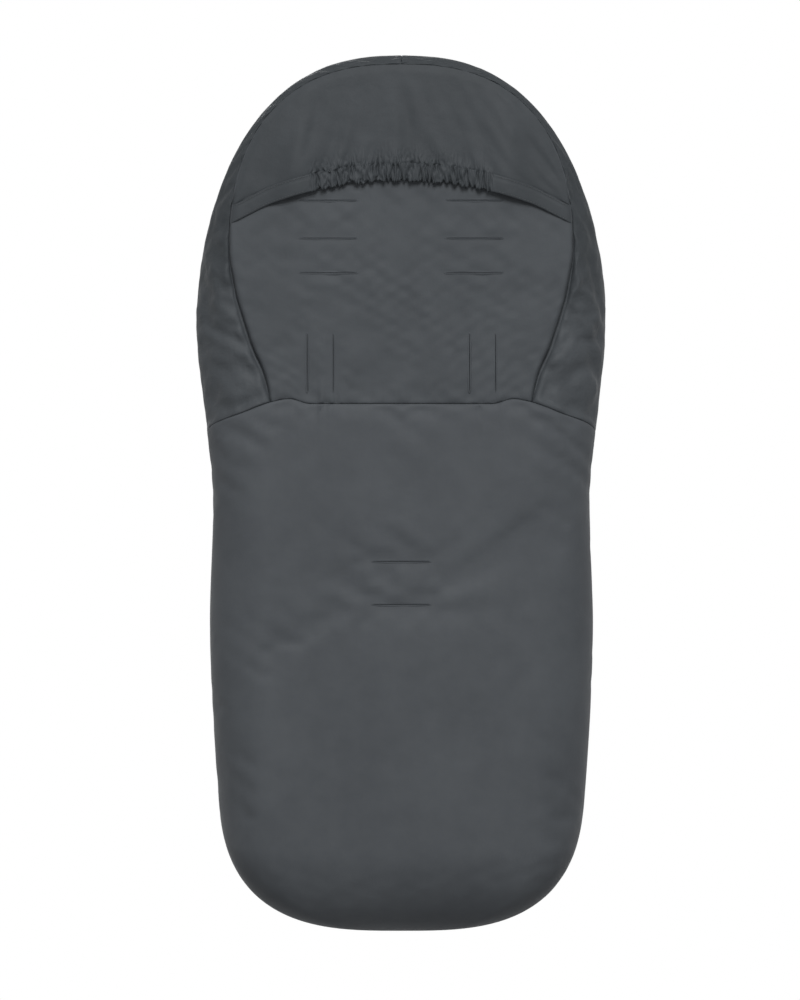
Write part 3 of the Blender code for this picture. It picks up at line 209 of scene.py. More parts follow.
def face(v, s, level=False):
    """Points of the outer face. v goes round the section from the back's middle at 0, past the wing seam at
    1, the widest line at 2 and the zip between 3 and 4, to the front's middle at 5; left stations are
    negative. s is the height from the foot tip, which past the shoulder runs on round the arch of the head.
    The corner is a quarter ellipse, the side a curve of three controls, the zip's strip is flat and the
    front a rounded crown."""
    v, s = np.broadcast_arrays(np.asarray(v, float), np.asarray(s, float))
    u = np.abs(v)
    if not level:
        drop = smooth_through(u / 5, DROP_STATION_SHARES, DROP_SHARES)
        s = s + SEAM_DROP * drop * (1 - ease(np.abs(s - WAIST_SEAM_HEIGHT) / SEAM_REACH))
    above = np.maximum(s, HINGE_HEIGHT)
    base, turn, reach, seam = round_head(above)
    wing = reach - seam
    head = ease((above - RIM_START) / RIM_BLEND) * (u < MID_ZIP)
    zip_across, zip_depth = zip_line(above)
    lean = ZIP_LEAN + (RIM_LEAN - ZIP_LEAN) * head
    at_zip = reach - zip_across - ZIP_FLAT * math.cos(ZIP_LEAN)
    at_zip_depth = zip_depth - ZIP_FLAT * math.sin(ZIP_LEAN)
    inset = at_zip + (RIM_INSET - at_zip) * head
    depth_3 = at_zip_depth + (RIM_DEPTH - ZIP_FLAT * np.sin(lean) - at_zip_depth) * head
    corner = np.minimum(CORNER_SHARE * front_depth(base), CORNER_FULLNESS * wing)
    angle = np.clip(u - 1, 0, 1) * math.pi / 2
    inward = wing * (1 - np.sin(angle))
    depth = corner * (1 - np.cos(angle))
    t = np.clip(u - 2, 0, 1)
    bend = depth_3 - inset * np.tan(lean)
    inward = np.where(u > 2, inset * t * t, inward)
    depth = np.where(u > 2, corner * (1 - t) ** 2 + 2 * bend * t * (1 - t) + depth_3 * t * t, depth)
    run = np.clip(u - 3, 0, 1) * 2 * ZIP_FLAT
    inward = np.where(u > 3, inset + run * np.cos(lean), inward)
    depth = np.where(u > 3, depth_3 + run * np.sin(lean), depth)
    x = (reach - inward) * np.cos(turn)
    h = base + (reach - inward) * np.sin(turn)
    inside = u <= 1
    x = np.where(inside, u * seam * np.cos(turn), x)
    h = np.where(inside, base + seam * np.sin(turn), h)
    depth = depth * (u > 1)
    front = u > MID_ZIP
    plane = (np.clip(u - 3, 0, 1) - 0.5) * 2 * ZIP_FLAT
    x = np.where(front, zip_across - plane * math.cos(ZIP_LEAN), x)
    depth = np.where(front, zip_depth + plane * math.sin(ZIP_LEAN), depth)
    share = np.clip(5 - u, 0, 1)
    edge_across = zip_across - ZIP_FLAT * math.cos(ZIP_LEAN)
    edge_depth = zip_depth + ZIP_FLAT * math.sin(ZIP_LEAN)
    middle = front_depth(above)
    x = np.where(u > 4, edge_across * share, x)
    depth = np.where(u > 4, middle - (middle - edge_depth) * share**CROWN_ROUND, depth)
    h = np.where(front, above, h)
    low = s < HINGE_HEIGHT
    below = np.minimum(s, HINGE_HEIGHT)
    full = front_depth(HINGE_HEIGHT)
    round_off = np.sqrt(np.clip(1 - (1 - below / HINGE_HEIGHT) ** 2, 0, 1))
    tip = full * TIP_SHARE
    back = tip * (1 - round_off)
    x = np.where(low, x * half_width(below) / half_width(HINGE_HEIGHT), x)
    depth = np.where(low, back + depth / full * (tip + (full - tip) * round_off - back), depth)
    h = np.where(low, s, h)
    return np.stack([x * np.where(v < 0, -1, 1), depth, h - HANG_HEIGHT], axis=-1)


def fill(v, s):
    """How full the wadding is: a share of the wing's width, and thin beside the zips and at the toe's
    front."""
    v, s = np.broadcast_arrays(np.asarray(v, float), np.asarray(s, float))
    u = np.abs(v)
    reach, seam = round_head(np.maximum(s, HINGE_HEIGHT))[2:]
    thick = (WING_FILL_SHARE * (reach - seam) - LAYERS + WADDING) / WADDING
    wing = np.clip(np.where((u > 1 - TINY) & (u < MID_ZIP), thick, 1), THIN_SHARE, 1)
    back = ease((u - THINS_FROM) / THINS_OVER)
    front = ease((FRONT_THINS_TO - u) / FRONT_THINS_OVER)
    to_edge = np.where(u < MID_ZIP, back, front)
    to_edge = to_edge * ease((s / HINGE_HEIGHT - 0.5) * 2)
    return np.minimum(wing, 1 - (1 - THIN_SHARE) * to_edge)


def layers_at(v, s):
    """Thickness of all layers together, with the wadding as full as it is there."""
    return LAYERS - WADDING * (1 - fill(v, s))


# Grids and their folds: every piece of cloth starts from a grid of points on the face.
BESIDE_SEAM = np.array((0, 0.3, 0.8, 1.5, 2.4, 3.6, 5.0, 6.8, 9.0)) * MM
CELL = 3.0 * MM


def spaced(low, high, spacing=CELL, metre=1.0, fine_low=True, fine_high=True):
    """Places from low to high, evenly spaced and closer together beside a sewn end. metre is how many of
    their units make a metre."""
    near = BESIDE_SEAM * metre
    start = low + near if fine_low else np.array([low])
    end = high - near[::-1] if fine_high else np.array([high])
    count = max(2, int(round((end[0] - start[-1]) / (spacing * metre))))
    return np.concatenate([start, np.linspace(start[-1], end[0], count + 1)[1:-1], end])


def stepped(start, *legs):
    """Places from a start through the ends of several legs, each leg given by its end and its number of
    steps."""
    places = [[start]]
    for end, steps in legs:
        places.append(np.linspace(start, end, steps + 1)[1:])
        start = end
    return np.concatenate(places)


def arc_lengths(points):
    """How far each point of a grid is along its row and up its column, in metres, for seams and for the
    weave."""
    along = np.cumsum(np.linalg.norm(np.diff(points, axis=1, prepend=points[:, :1]), axis=-1), axis=1)
    up = np.cumsum(np.linalg.norm(np.diff(points, axis=0, prepend=points[:1]), axis=-1), axis=0)
    return along, up


def facing_out(points):
    """Outward directions over a grid: the way along its rows crossed with the way up its columns."""
    normals = unit(np.cross(np.gradient(points, axis=1), np.gradient(points, axis=0)))
    size = np.ptp(points, axis=1).max(axis=-1)
    if size[0] < TINY:
        normals[0] = unit(normals[1].mean(axis=0))
    if size[-1] < TINY:
        normals[-1] = unit(normals[-2].mean(axis=0))
    return normals


def tuck(distance, depth, reach, gap=0.0):
    """How far cloth is drawn in beside a seam: a quarter ellipse of that depth over that reach, past a
    gap."""
    near = np.clip(1 - (distance - gap) / reach, 0, 1)
    return depth * (1 - np.sqrt(np.clip(1 - near * near, 0, 1)))


RIPPLE_GAIN = 1.8


def ripple(along, seed, length, count=7):
    """An uneven wave from -1 to 1: a sum of sines, their lengths between 0.6 and 1.7 times the given one."""
    rng = np.random.default_rng(seed)
    lengths = length * rng.uniform(0.6, 1.7, count)
    phases = rng.uniform(0, 2 * math.pi, count)
    weights = rng.uniform(0.5, 1, count)
    waves = np.sin(2 * math.pi * along[..., None] / lengths + phases) * weights
    return waves.sum(axis=-1) / weights.sum() * RIPPLE_GAIN


def crumples(along, up, seed, length):
    """Sharp-edged crumples from 0 to 1: one less the size of a wave field, which creases where the field
    crosses zero. The field is a sum of sines across the cloth in all directions."""
    rng = np.random.default_rng(seed)
    turns = rng.uniform(0, math.pi, 9)
    lengths = length * rng.uniform(0.7, 1.8, 9)
    phases = rng.uniform(0, 2 * math.pi, 9)
    ahead = along[..., None] * np.cos(turns) + up[..., None] * np.sin(turns)
    field = np.sin(2 * math.pi * ahead / lengths + phases).sum(axis=-1) / 3
    return 1 - np.minimum(np.abs(field), 1)


def read_grid(values, places, at, axis):
    """Values of a coarse grid read at finer places along one side, by cubic pieces."""
    values = np.moveaxis(values, axis, 0)
    slopes = np.gradient(values, places, axis=0)
    at = np.clip(at, places[0], places[-1])
    spot = np.clip(np.searchsorted(places, at, side="right") - 1, 0, len(places) - 2)
    step = (places[spot + 1] - places[spot])[:, None, None]
    t = (at - places[spot])[:, None, None] / step
    a, b = values[spot], values[spot + 1]
    p, q = slopes[spot] * step, slopes[spot + 1] * step
    through = a * (1 + 2 * t) * (1 - t) ** 2 + b * t * t * (3 - 2 * t)
    return np.moveaxis(through + p * t * (1 - t) ** 2 - q * t * t * (1 - t), 0, axis)


def grid_quads(rows, columns):
    """The point numbers of a grid, and its faces as four of them each."""
    index = np.arange(rows * columns).reshape(rows, columns)
    quads = np.stack([index[:-1, :-1], index[:-1, 1:], index[1:, 1:], index[1:, :-1]], axis=-1)
    return index, quads.reshape(-1, 4)


def add_object(name, data):
    """An object with its data, put in the scene."""
    thing = bpy.data.objects.new(name, data)
    bpy.context.scene.collection.objects.link(thing)
    return thing


SETTLE_FRAMES = 20
START_WAVE = 0.6 * MM
SINK_SHARE = 0.6
SAME_PLACE = 20 * TINY


def settle(v, s, slack, push, cap, seed, held=None, level=False):
    """How far the outer cloth moves as it settles over the wadding: Blender's Cloth on a coarse grid, held
    along its seams, without gravity, with a light push from inside and a little more cloth than the face
    needs. The cap is soft: a move m becomes cap times the hyperbolic tangent of m over the cap."""
    rest = face(v[None, :], s[:, None], level)
    rows, columns = rest.shape[:2]
    index, quads = grid_quads(rows, columns)
    along, up = arc_lengths(rest)
    wave = START_WAVE * ripple(along + 0.7 * up, seed, 35 * MM) * ripple(up, seed + 1, 45 * MM)
    start = rest + facing_out(rest) * wave[..., None]
    mesh = bpy.data.meshes.new("settling")
    mesh.from_pydata(start.reshape(-1, 3).tolist(), [], quads.tolist())
    cloth_piece = add_object("settling", mesh)
    border = np.zeros((rows, columns), bool)
    border[[0, -1]] = True
    border[:, [0, -1]] = True
    if held is not None:
        border |= held(rest)
    group = cloth_piece.vertex_groups.new(name="held")
    group.add(index[border].ravel().tolist(), 1.0, "REPLACE")
    scene = bpy.context.scene
    scene.frame_set(1)
    cloth = cloth_piece.modifiers.new("cloth", "CLOTH")
    settings = cloth.settings
    settings.quality = 6
    settings.mass = 0.15
    settings.tension_stiffness = 25
    settings.compression_stiffness = 25
    settings.shear_stiffness = 12
    settings.bending_stiffness = 0.4
    settings.air_damping = 2
    settings.vertex_group_mass = "held"
    settings.shrink_min = -slack
    settings.use_pressure = True
    settings.uniform_pressure_force = push
    settings.effector_weights.gravity = 0
    cloth.point_cache.frame_start = 1
    cloth.point_cache.frame_end = SETTLE_FRAMES
    for step in range(1, SETTLE_FRAMES + 1):
        scene.frame_set(step)
    final = cloth_piece.evaluated_get(bpy.context.evaluated_depsgraph_get()).to_mesh()
    where = np.empty(rows * columns * 3)
    final.vertices.foreach_get("co", where)
    cloth_piece.to_mesh_clear()
    bpy.data.objects.remove(cloth_piece)
    bpy.data.meshes.remove(mesh)
    scene.frame_set(1)
    moved = where.reshape(rows, columns, 3) - rest
    size = np.linalg.norm(moved, axis=-1, keepdims=True)
    return moved * np.tanh(size / cap) * cap / np.maximum(size, TINY)


def settled(moved, coarse_v, coarse_s, v, s):
    """The settled cloth's moves, read at a finer grid's places."""
    return read_grid(read_grid(moved, coarse_s, s, 0), coarse_v, v, 1)


def above_lining(moved, normals, thick):
    """Moves of the outer cloth, with its sinking d turned to m times the hyperbolic tangent of d over m, m
    being a little over half the padding's thickness, so that it never reaches the lining."""
    sunk = np.maximum(-(moved * normals).sum(axis=-1), 0)
    most = SINK_SHARE * thick
    return moved + normals * (sunk - most * np.tanh(sunk / most))[..., None]


def new_piece(name, points, faces, uv, finishes, material_index=None):
    """A mesh object from arrays: its doubles merged, smooth, with its weave map in metres."""
    mesh = bpy.data.meshes.new(name)
    mesh.from_pydata(points.tolist(), [], faces.tolist() if isinstance(faces, np.ndarray) else faces)
    for finish in finishes:
        mesh.materials.append(finish)
    if uv is not None:
        corners = np.empty(len(mesh.loops), np.int32)
        mesh.loops.foreach_get("vertex_index", corners)
        layer = mesh.uv_layers.new(name="weave")
        layer.data.foreach_set("uv", uv[corners].astype(np.float32).ravel())
    if material_index is not None:
        mesh.polygons.foreach_set("material_index", material_index.astype(np.int32))
    shape = bmesh.new()
    shape.from_mesh(mesh)
    bmesh.ops.remove_doubles(shape, verts=shape.verts, dist=TINY)
    shape.to_mesh(mesh)
    shape.free()
    mesh.shade_smooth()
    return add_object(name, mesh)


def turn_outwards(mesh):
    """Turns the faces of closed forms outwards."""
    shape = bmesh.new()
    shape.from_mesh(mesh)
    bmesh.ops.recalc_face_normals(shape, faces=shape.faces)
    shape.to_mesh(mesh)
    shape.free()


def padded_wall(name, outer, inner, finishes, cells=None):
    """A closed wall between an outer and an inner grid: outer faces, inner faces turned round, and a rim of
    faces along every edge that only one cell has."""
    index, quads = grid_quads(*outer.shape[:2])
    if cells is not None:
        quads = quads[cells.ravel()]
    every = index.size
    start = quads.ravel()
    end = np.roll(quads, -1, axis=1).ravel()
    spots = np.round(outer.reshape(-1, 3) / SAME_PLACE).astype(np.int64)
    merged = np.unique(spots, axis=0, return_inverse=True)[1].ravel()
    a, b = merged[start], merged[end]
    alone = ~np.isin(a * every + b, b * every + a) & (a != b)
    rim = np.stack([end[alone], start[alone], start[alone] + every, end[alone] + every], axis=-1)
    faces = np.concatenate([quads, quads[:, ::-1] + every, rim])
    kind = np.concatenate([np.zeros(len(quads)), np.ones(len(quads)), np.zeros(len(rim))])
    uv = np.stack(arc_lengths(outer), axis=-1).reshape(-1, 2)
    points = np.concatenate([outer.reshape(-1, 3), inner.reshape(-1, 3)])
    piece = new_piece(name, points, faces, np.concatenate([uv, uv]), finishes, kind * (len(finishes) > 1))
    piece.data.set_sharp_from_angle(angle=math.radians(60))
    return piece


def carry(piece, blend):
    """Puts a piece on the bag, or, where it has a blend, leaves it unattached with its place baked into its
    points.
    """
    if blend:
        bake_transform(piece)
    else:
        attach(piece, "bag")


def new_group(name, inputs, outputs):
    """An empty shader group with the given sockets."""
    group = bpy.data.node_groups.new(name, "ShaderNodeTree")
    for label, kind, value in inputs:
        socket = group.interface.new_socket(name=label, in_out="INPUT", socket_type=kind)
        if value is not None:
            socket.default_value = value
    for label, kind in outputs:
        group.interface.new_socket(name=label, in_out="OUTPUT", socket_type=kind)
    return group, group.nodes.new("NodeGroupInput"), group.nodes.new("NodeGroupOutput")


def maths(tree, operation, a, b=None, c=None):
    """A Math node in a tree, from sockets or numbers."""
    node = tree.nodes.new("ShaderNodeMath")
    node.operation = operation
    for socket, value in zip(node.inputs, (a, b, c)):
        if isinstance(value, bpy.types.NodeSocket):
            tree.links.new(value, socket)
        elif value is not None:
            socket.default_value = value
    return node.outputs[0]


def set_values(node, values):
    """Sets a node's own sockets."""
    for label, value in values.items():
        node.inputs[label].default_value = value


def share_of(tree, share, a, b):
    """A share of a with the rest of b."""
    return maths(tree, "MULTIPLY_ADD", a, share, maths(tree, "MULTIPLY", b, 1 - share))


def noise(tree, vector, scale, detail=2.0, rough=0.5):
    """A Noise Texture read at a vector."""
    node = tree.nodes.new("ShaderNodeTexNoise")
    set_values(node, {"Scale": scale, "Detail": detail, "Roughness": rough})
    tree.links.new(vector, node.inputs["Vector"])
    return node.outputs["Fac"]


def build_weave():
    """Plain weave: warp and weft threads a pitch apart pass over and under in turn. Height is the product of
    two sines plus the rounded backs of the threads, and Shade is the same without its fine part."""
    group, start, end = new_group(
        "plain_weave",
        (("Vector", "NodeSocketVector", None), ("Pitch", "NodeSocketFloat", 0.5)),
        (("Height", "NodeSocketFloat"), ("Shade", "NodeSocketFloat")),
    )
    parts = group.nodes.new("ShaderNodeSeparateXYZ")
    group.links.new(start.outputs["Vector"], parts.inputs[0])
    turn = maths(group, "DIVIDE", math.pi / MM, start.outputs["Pitch"])
    warp = maths(group, "SINE", maths(group, "MULTIPLY", parts.outputs[0], turn))
    weft = maths(group, "SINE", maths(group, "MULTIPLY", parts.outputs[1], turn))
    over = maths(group, "MULTIPLY", warp, weft)
    backs = maths(group, "ADD", maths(group, "ABSOLUTE", warp), maths(group, "ABSOLUTE", weft))
    height = share_of(group, 0.5, over, backs)
    slub = noise(group, start.outputs["Vector"], 900.0, 3.0)
    group.links.new(maths(group, "MULTIPLY_ADD", slub, 0.6, height), end.inputs["Height"])
    group.links.new(maths(group, "MULTIPLY_ADD", height, 0.5, 0.25), end.inputs["Shade"])
    return group


def build_crinkle():
    """The soft crinkle and cloudy shade of thin polyester. Height is ridged noise at three sizes, and Cloud
    is a slow noise from 0 to 1."""
    group, start, end = new_group(
        "cloth_crinkle",
        (("Vector", "NodeSocketVector", None), ("Size", "NodeSocketFloat", 1.0)),
        (("Height", "NodeSocketFloat"), ("Cloud", "NodeSocketFloat")),
    )
    scaled = group.nodes.new("ShaderNodeVectorMath")
    scaled.operation = "SCALE"
    group.links.new(start.outputs["Vector"], scaled.inputs[0])
    group.links.new(start.outputs["Size"], scaled.inputs["Scale"])
    where = scaled.outputs[0]
    broad = noise(group, where, 14.0, 3.0)
    waves = maths(group, "MULTIPLY_ADD", noise(group, where, 32.0, 4.0), 2.0, -1.0)
    ridged = maths(group, "ABSOLUTE", waves)
    small = noise(group, where, 110.0, 3.0, 0.6)
    height = maths(group, "MULTIPLY_ADD", broad, 1.0, maths(group, "MULTIPLY", ridged, -0.45))
    group.links.new(maths(group, "MULTIPLY_ADD", small, 0.12, height), end.inputs["Height"])
    cloud = share_of(group, 0.6, noise(group, where, 9.0, 2.0), noise(group, where, 45.0, 3.0))
    group.links.new(cloud, end.inputs["Cloud"])
    return group


WEAVE = build_weave()
CRINKLE = build_crinkle()


def start_material(name):
    """A material with its tree, its shader and the object's own coordinates."""
    material = bpy.data.materials.new(name)
    material.use_nodes = True
    tree = material.node_tree
    shader = tree.nodes["Principled BSDF"]
    place = tree.nodes.new("ShaderNodeTexCoord").outputs["Object"]
    return material, tree, shader, place


def use_group(tree, group, vector, **values):
    """A group placed in a material with its own values."""
    node = tree.nodes.new("ShaderNodeGroup")
    node.node_tree = group
    tree.links.new(vector, node.inputs["Vector"])
    set_values(node, values)
    return node


def weave(tree, pitch):
    """The weave's outputs, laid out by the piece's own map."""
    uv = tree.nodes.new("ShaderNodeUVMap")
    uv.uv_map = "weave"
    return use_group(tree, WEAVE, uv.outputs[0], Pitch=pitch).outputs


def two_tone(tree, mask, dark, light, low=0.35, high=0.65):
    """A colour that goes from dark to light as the mask goes from low to high."""
    ramp = tree.nodes.new("ShaderNodeValToRGB")
    ramp.color_ramp.elements[0].position = low
    ramp.color_ramp.elements[0].color = (*dark, 1)
    ramp.color_ramp.elements[1].position = high
    ramp.color_ramp.elements[1].color = (*light, 1)
    tree.links.new(mask, ramp.inputs[0])
    return ramp.outputs[0]


def bump(tree, height, distance, strength=1.0, after=None):
    """A Bump node, on top of another one if given."""
    node = tree.nodes.new("ShaderNodeBump")
    set_values(node, {"Strength": strength, "Distance": distance})
    tree.links.new(height, node.inputs["Height"])
    if after is not None:
        tree.links.new(after, node.inputs["Normal"])
    return node.outputs[0]


# How far painted shade shifts the wing cloth's tone with height, and over what height it fades.
PAINTED_SHADE_STEP = 0.44
PAINTED_SHADE_FADE = 0.26


def polyester(name, dark, light, roughness, crinkle, size=1.0, painted_shade_level=None):
    """Woven polyester: cloudy two-tone colour, crinkle and a fine plain weave. Given a height, painted shade
    makes it darker above that height and slowly paler over a fade below it, for upper parts that turn from
    the light."""
    material, tree, shader, place = start_material(name)
    cloth = use_group(tree, CRINKLE, place, Size=size).outputs
    threads = weave(tree, 0.55)
    shade = share_of(tree, 0.18, threads["Shade"], cloth["Cloud"])
    # Painted shade: darker above the given height, paler below it.
    if painted_shade_level is not None:
        split = tree.nodes.new("ShaderNodeSeparateXYZ")
        tree.links.new(place, split.inputs[0])
        below = maths(tree, "DIVIDE", maths(tree, "SUBTRACT", painted_shade_level, split.outputs["Z"]), PAINTED_SHADE_FADE)
        varying = maths(tree, "MAXIMUM", maths(tree, "MINIMUM", below, 1.0), 0.0)
        shade = maths(tree, "MULTIPLY_ADD", maths(tree, "SUBTRACT", varying, 0.5), PAINTED_SHADE_STEP, shade)
    tree.links.new(two_tone(tree, shade, dark, light), shader.inputs["Base Color"])
    crinkled = bump(tree, cloth["Height"], crinkle)
    tree.links.new(bump(tree, threads["Height"], 0.05 * MM, 0.5, crinkled), shader.inputs["Normal"])
    shine = {"Specular IOR Level": 0.25, "Sheen Weight": 0.04, "Sheen Roughness": 0.4}
    set_values(shader, {"Roughness": roughness, **shine})
    return material


def fleece(name, dark, light):
    """Brushed fleece: small tufts from fine noise, and a soft sheen."""
    material, tree, shader, place = start_material(name)
    tufts = noise(tree, place, 420.0, 4.0, 0.7)
    drifts = noise(tree, place, 38.0, 2.0)
    mask = share_of(tree, 0.6, tufts, drifts)
    tree.links.new(two_tone(tree, mask, dark, light), shader.inputs["Base Color"])
    soft = bump(tree, drifts, 1.2 * MM, 0.6)
    tree.links.new(bump(tree, tufts, 1.0 * MM, 0.9, soft), shader.inputs["Normal"])
    shine = {"Specular IOR Level": 0.15, "Sheen Weight": 0.35, "Sheen Roughness": 0.5}
    set_values(shader, {"Roughness": 0.95, **shine})
    return material


SLATE = polyester("slate_polyester", (0.081, 0.089, 0.099), (0.104, 0.114, 0.125), 0.62, 0.8 * MM)
# The panel's cloth is the bag's slate polyester a little darker: painted shade, to balance the panel's light
# against the bag's.
PANEL_SHADED_CLOTH = polyester("panel_polyester", (0.073, 0.081, 0.090), (0.093, 0.103, 0.113), 0.62, 0.8 * MM)
FLEECE = fleece("grey_fleece", (0.25, 0.26, 0.27), (0.36, 0.37, 0.38))

# How the cloth is drawn in at the seams: deepest beside the panel's lower half, where both sides puff up.
MOST_PROUD = 4 * MM
MOST_DRAWN = 9.5 * MM
SEAM_CREASE_HEIGHTS = (0.55, 0.5786, 0.595, 0.62, 0.69, 0.74, 0.78, 0.82, 1.0)
SEAM_CREASE_DEPTHS = np.array((4.0, 4.0, 8.0, 9.0, 9.0, 7.0, 4.5, 1.6, 0.5)) * MM
SEAM_CREASE_REACHES = np.array((6.0, 6.0, 8.0, 9.0, 9.0, 8.0, 6.0, 4.5, 6.0)) * MM
SEAM_CREASE_GAPS = np.array((0.0, 0.0, 0.9, 1.5, 1.5, 0.6, 0.3, 0.0, 0.0)) * MM
PANEL_CREASE_SPREAD = 0.55
PANEL_SPAN = 0.18
WAIST_CREASE = 1.5 * MM
WAIST_CREASE_REACH = 4.6 * MM
WAIST_GATHERS = np.array((-0.122, -0.086, -0.0745, 0.0862, 0.1136))
WAIST_SMALL = 0.3 * MM
WAIST_SPOT = 1.5 * MM
WAIST_SMALL_LENGTH = 9 * MM
WAIST_SMALL_START = 1.5 * MM
WAIST_BROAD = 0.9 * MM
WAIST_BROAD_LENGTH = 42 * MM
WAIST_BROAD_START = 8 * MM
GATHER_WIDTH = 8 * MM
GATHER_REACH = 16 * MM


def seam_tuck(distance, height, spread=1.0):
    """Depth of the crease beside the wing seam, whose depth and reach change with height."""
    depth = np.interp(height, SEAM_CREASE_HEIGHTS, SEAM_CREASE_DEPTHS)
    reach = spread * np.interp(height, SEAM_CREASE_HEIGHTS, SEAM_CREASE_REACHES)
    return tuck(distance, depth, reach, np.interp(height, SEAM_CREASE_HEIGHTS, SEAM_CREASE_GAPS))


def waist_tuck(distance, x, seed):
    """Depth of the crease along the waist seam, with small gathers that fade away from it."""
    crease = tuck(distance, WAIST_CREASE, WAIST_CREASE_REACH)
    spots = bell((x[..., None] - WAIST_GATHERS) / GATHER_WIDTH).max(axis=-1)
    fade = np.exp(-distance / GATHER_REACH) * ease(distance / WAIST_SMALL_START)
    small = (WAIST_SMALL + WAIST_SPOT * spots) * ripple(x, seed, WAIST_SMALL_LENGTH)
    broad = WAIST_BROAD * np.exp(-distance / (3 * GATHER_REACH)) * ripple(x, seed + 5, WAIST_BROAD_LENGTH)
    return crease - small * fade - broad * ease(distance / WAIST_BROAD_START)


def from_line(points, line):
    """Distance across the back from every point of a grid to the nearest point of a line."""
    flat = points.reshape(-1, 3)[:, [0, 2]]
    nearest = np.full(len(flat), np.inf)
    for part in np.array_split(line, max(1, len(line) // 40)):
        gap = np.linalg.norm(flat[:, None, :] - part[None, :, :], axis=-1).min(axis=1)
        nearest = np.minimum(nearest, gap)
    return nearest.reshape(points.shape[:2])


# The harness slots' middles, each with how far across, how high, and whether it is upright.
SLOT_LENGTH = 0.066
SHOULDER_ACROSS = 0.080
SHOULDER_DROPS = (0.159, 0.2005, 0.2385)
WAIST_ACROSS = (0.0745, 0.103)
WAIST_DROP = 0.3365
CROTCH_DROPS = (0.554, 0.601)
SHOULDER_SLOTS = [
    (side * SHOULDER_ACROSS, LENGTH - drop, False) for drop in SHOULDER_DROPS for side in (-1, 1)
]
WAIST_SLOTS = [(side * across, LENGTH - WAIST_DROP, True) for across in WAIST_ACROSS for side in (-1, 1)]
CROTCH_SLOTS = [(0.0, LENGTH - drop, False) for drop in CROTCH_DROPS]
SLOT_HOLE = 1.9 * MM
SLOT_FULLNESS = 0.6
SLOT_DIP = 0.45 * MM
SLOT_DIP_REACH = 5 * MM
SLOT_CALM = 9 * MM


def slot_distance(points, slots):
    """Distance across the back to the nearest slot's middle line."""
    nearest = np.full(points.shape[:2], 1.0)
    for x, height, upright in slots:
        across = points[..., 0] - x
        up = points[..., 2] + HANG_HEIGHT - height
        along, off = (up, across) if upright else (across, up)
        past = np.maximum(np.abs(along) - SLOT_LENGTH / 2, 0)
        nearest = np.minimum(nearest, np.hypot(past, off))
    return nearest


def slot_loop(slot, radius, count=44):
    """Points round a slot, a lens that is 2 radius wide in its middle: the cosine of an angle along it, and
    a power of its sine across it."""
    x, height, upright = slot
    angles = round_turn(count)
    along = (SLOT_LENGTH / 2 - SLOT_HOLE + radius) * np.cos(angles)
    across = radius * np.sign(np.sin(angles)) * np.abs(np.sin(angles)) ** SLOT_FULLNESS
    if upright:
        along, across = -across, along
    return np.stack([x + along, 0 * along, height - HANG_HEIGHT + across], axis=-1)


def cut_slots(piece, slots):
    """Cuts the slots through a padded piece with one Boolean."""
    points, faces = [], []
    for slot in slots:
        loop = slot_loop(slot, SLOT_HOLE)
        around = len(loop)
        start = len(points)
        for depth in (-20 * MM, 30 * MM):
            points.extend((loop + BACKWARDS * -depth).tolist())
        ring = np.arange(around)
        after = np.roll(ring, -1)
        faces.extend((np.stack([ring, after, after + around, ring + around], -1) + start).tolist())
        faces.append((ring[::-1] + start).tolist())
        faces.append((ring + around + start).tolist())
    mesh = bpy.data.meshes.new("slot_cutter")
    mesh.from_pydata(points, [], faces)
    turn_outwards(mesh)
    cutter = add_object("slot_cutter", mesh)
    cut = piece.modifiers.new("slots", "BOOLEAN")
    cut.object = cutter
    cut.solver = "EXACT"
    done = bpy.data.meshes.new_from_object(piece.evaluated_get(bpy.context.evaluated_depsgraph_get()))
    piece.modifiers.remove(cut)
    piece.data = done
    bpy.data.objects.remove(cutter)
    bpy.data.meshes.remove(mesh)


def slot_dip(points, slots):
    """The cloth sinks a little towards a slot."""
    return SLOT_DIP * bell(slot_distance(points, slots) / SLOT_DIP_REACH)


PANEL_SLOTS = SHOULDER_SLOTS + WAIST_SLOTS
HEAD_END = SHOULDER_HEIGHT + ARCH_RUN
SEAM_LINE = face(np.array([[1.0]]), np.linspace(WAIST_SEAM_HEIGHT, HEAD_END, 600)[:, None])[:, 0][:, [0, 2]]
SEAM_LINE = np.concatenate([SEAM_LINE, SEAM_LINE * (-1, 1)])

panel_v = spaced(-1.0, 1.0, metre=1 / PANEL_SPAN)
panel_s = spaced(WAIST_SEAM_HEIGHT + GAP / 2, HEAD_END)
panel_face = face(panel_v[None, :], panel_s[:, None])
coarse_v = np.linspace(-1, 1, 49)
coarse_s = np.linspace(panel_s[0], HEAD_END - 0.03, 56)
panel_moved = settle(
    coarse_v, coarse_s, slack=0.0035, push=0.25, cap=1.1 * MM, seed=11,
    held=lambda points: slot_distance(points, PANEL_SLOTS) < SLOT_CALM,
)
panel_up = arc_lengths(panel_face)[1]
drawn_in = seam_tuck(from_line(panel_face, SEAM_LINE), panel_face[..., 2] + HANG_HEIGHT, PANEL_CREASE_SPREAD)
drawn_in = drawn_in + waist_tuck(panel_up, panel_face[..., 0], 21) + slot_dip(panel_face, PANEL_SLOTS)
panel_out = panel_face - BACKWARDS * np.clip(drawn_in, -MOST_PROUD, MOST_DRAWN)[..., None]
panel_out = panel_out + settled(panel_moved, coarse_v, coarse_s, panel_v, panel_s)
panel_in = panel_face - BACKWARDS * layers_at(panel_v[None, :], panel_s[:, None])[..., None]
back_panel = padded_wall("back_panel", panel_out, panel_in, (PANEL_SHADED_CLOTH, FLEECE))
cut_slots(back_panel, PANEL_SLOTS)
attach(back_panel, "bag")
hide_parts("back_panel_shell", "back_panel_wadding", "back_panel_lining")

# Harness slots
# Twelve slits for the straps, each with a narrow turned-through strip of the same cloth that rolls over its
# two lips and lines it through to the fleece: three pairs at the shoulders, two pairs at the waist, two at
# the crotch.

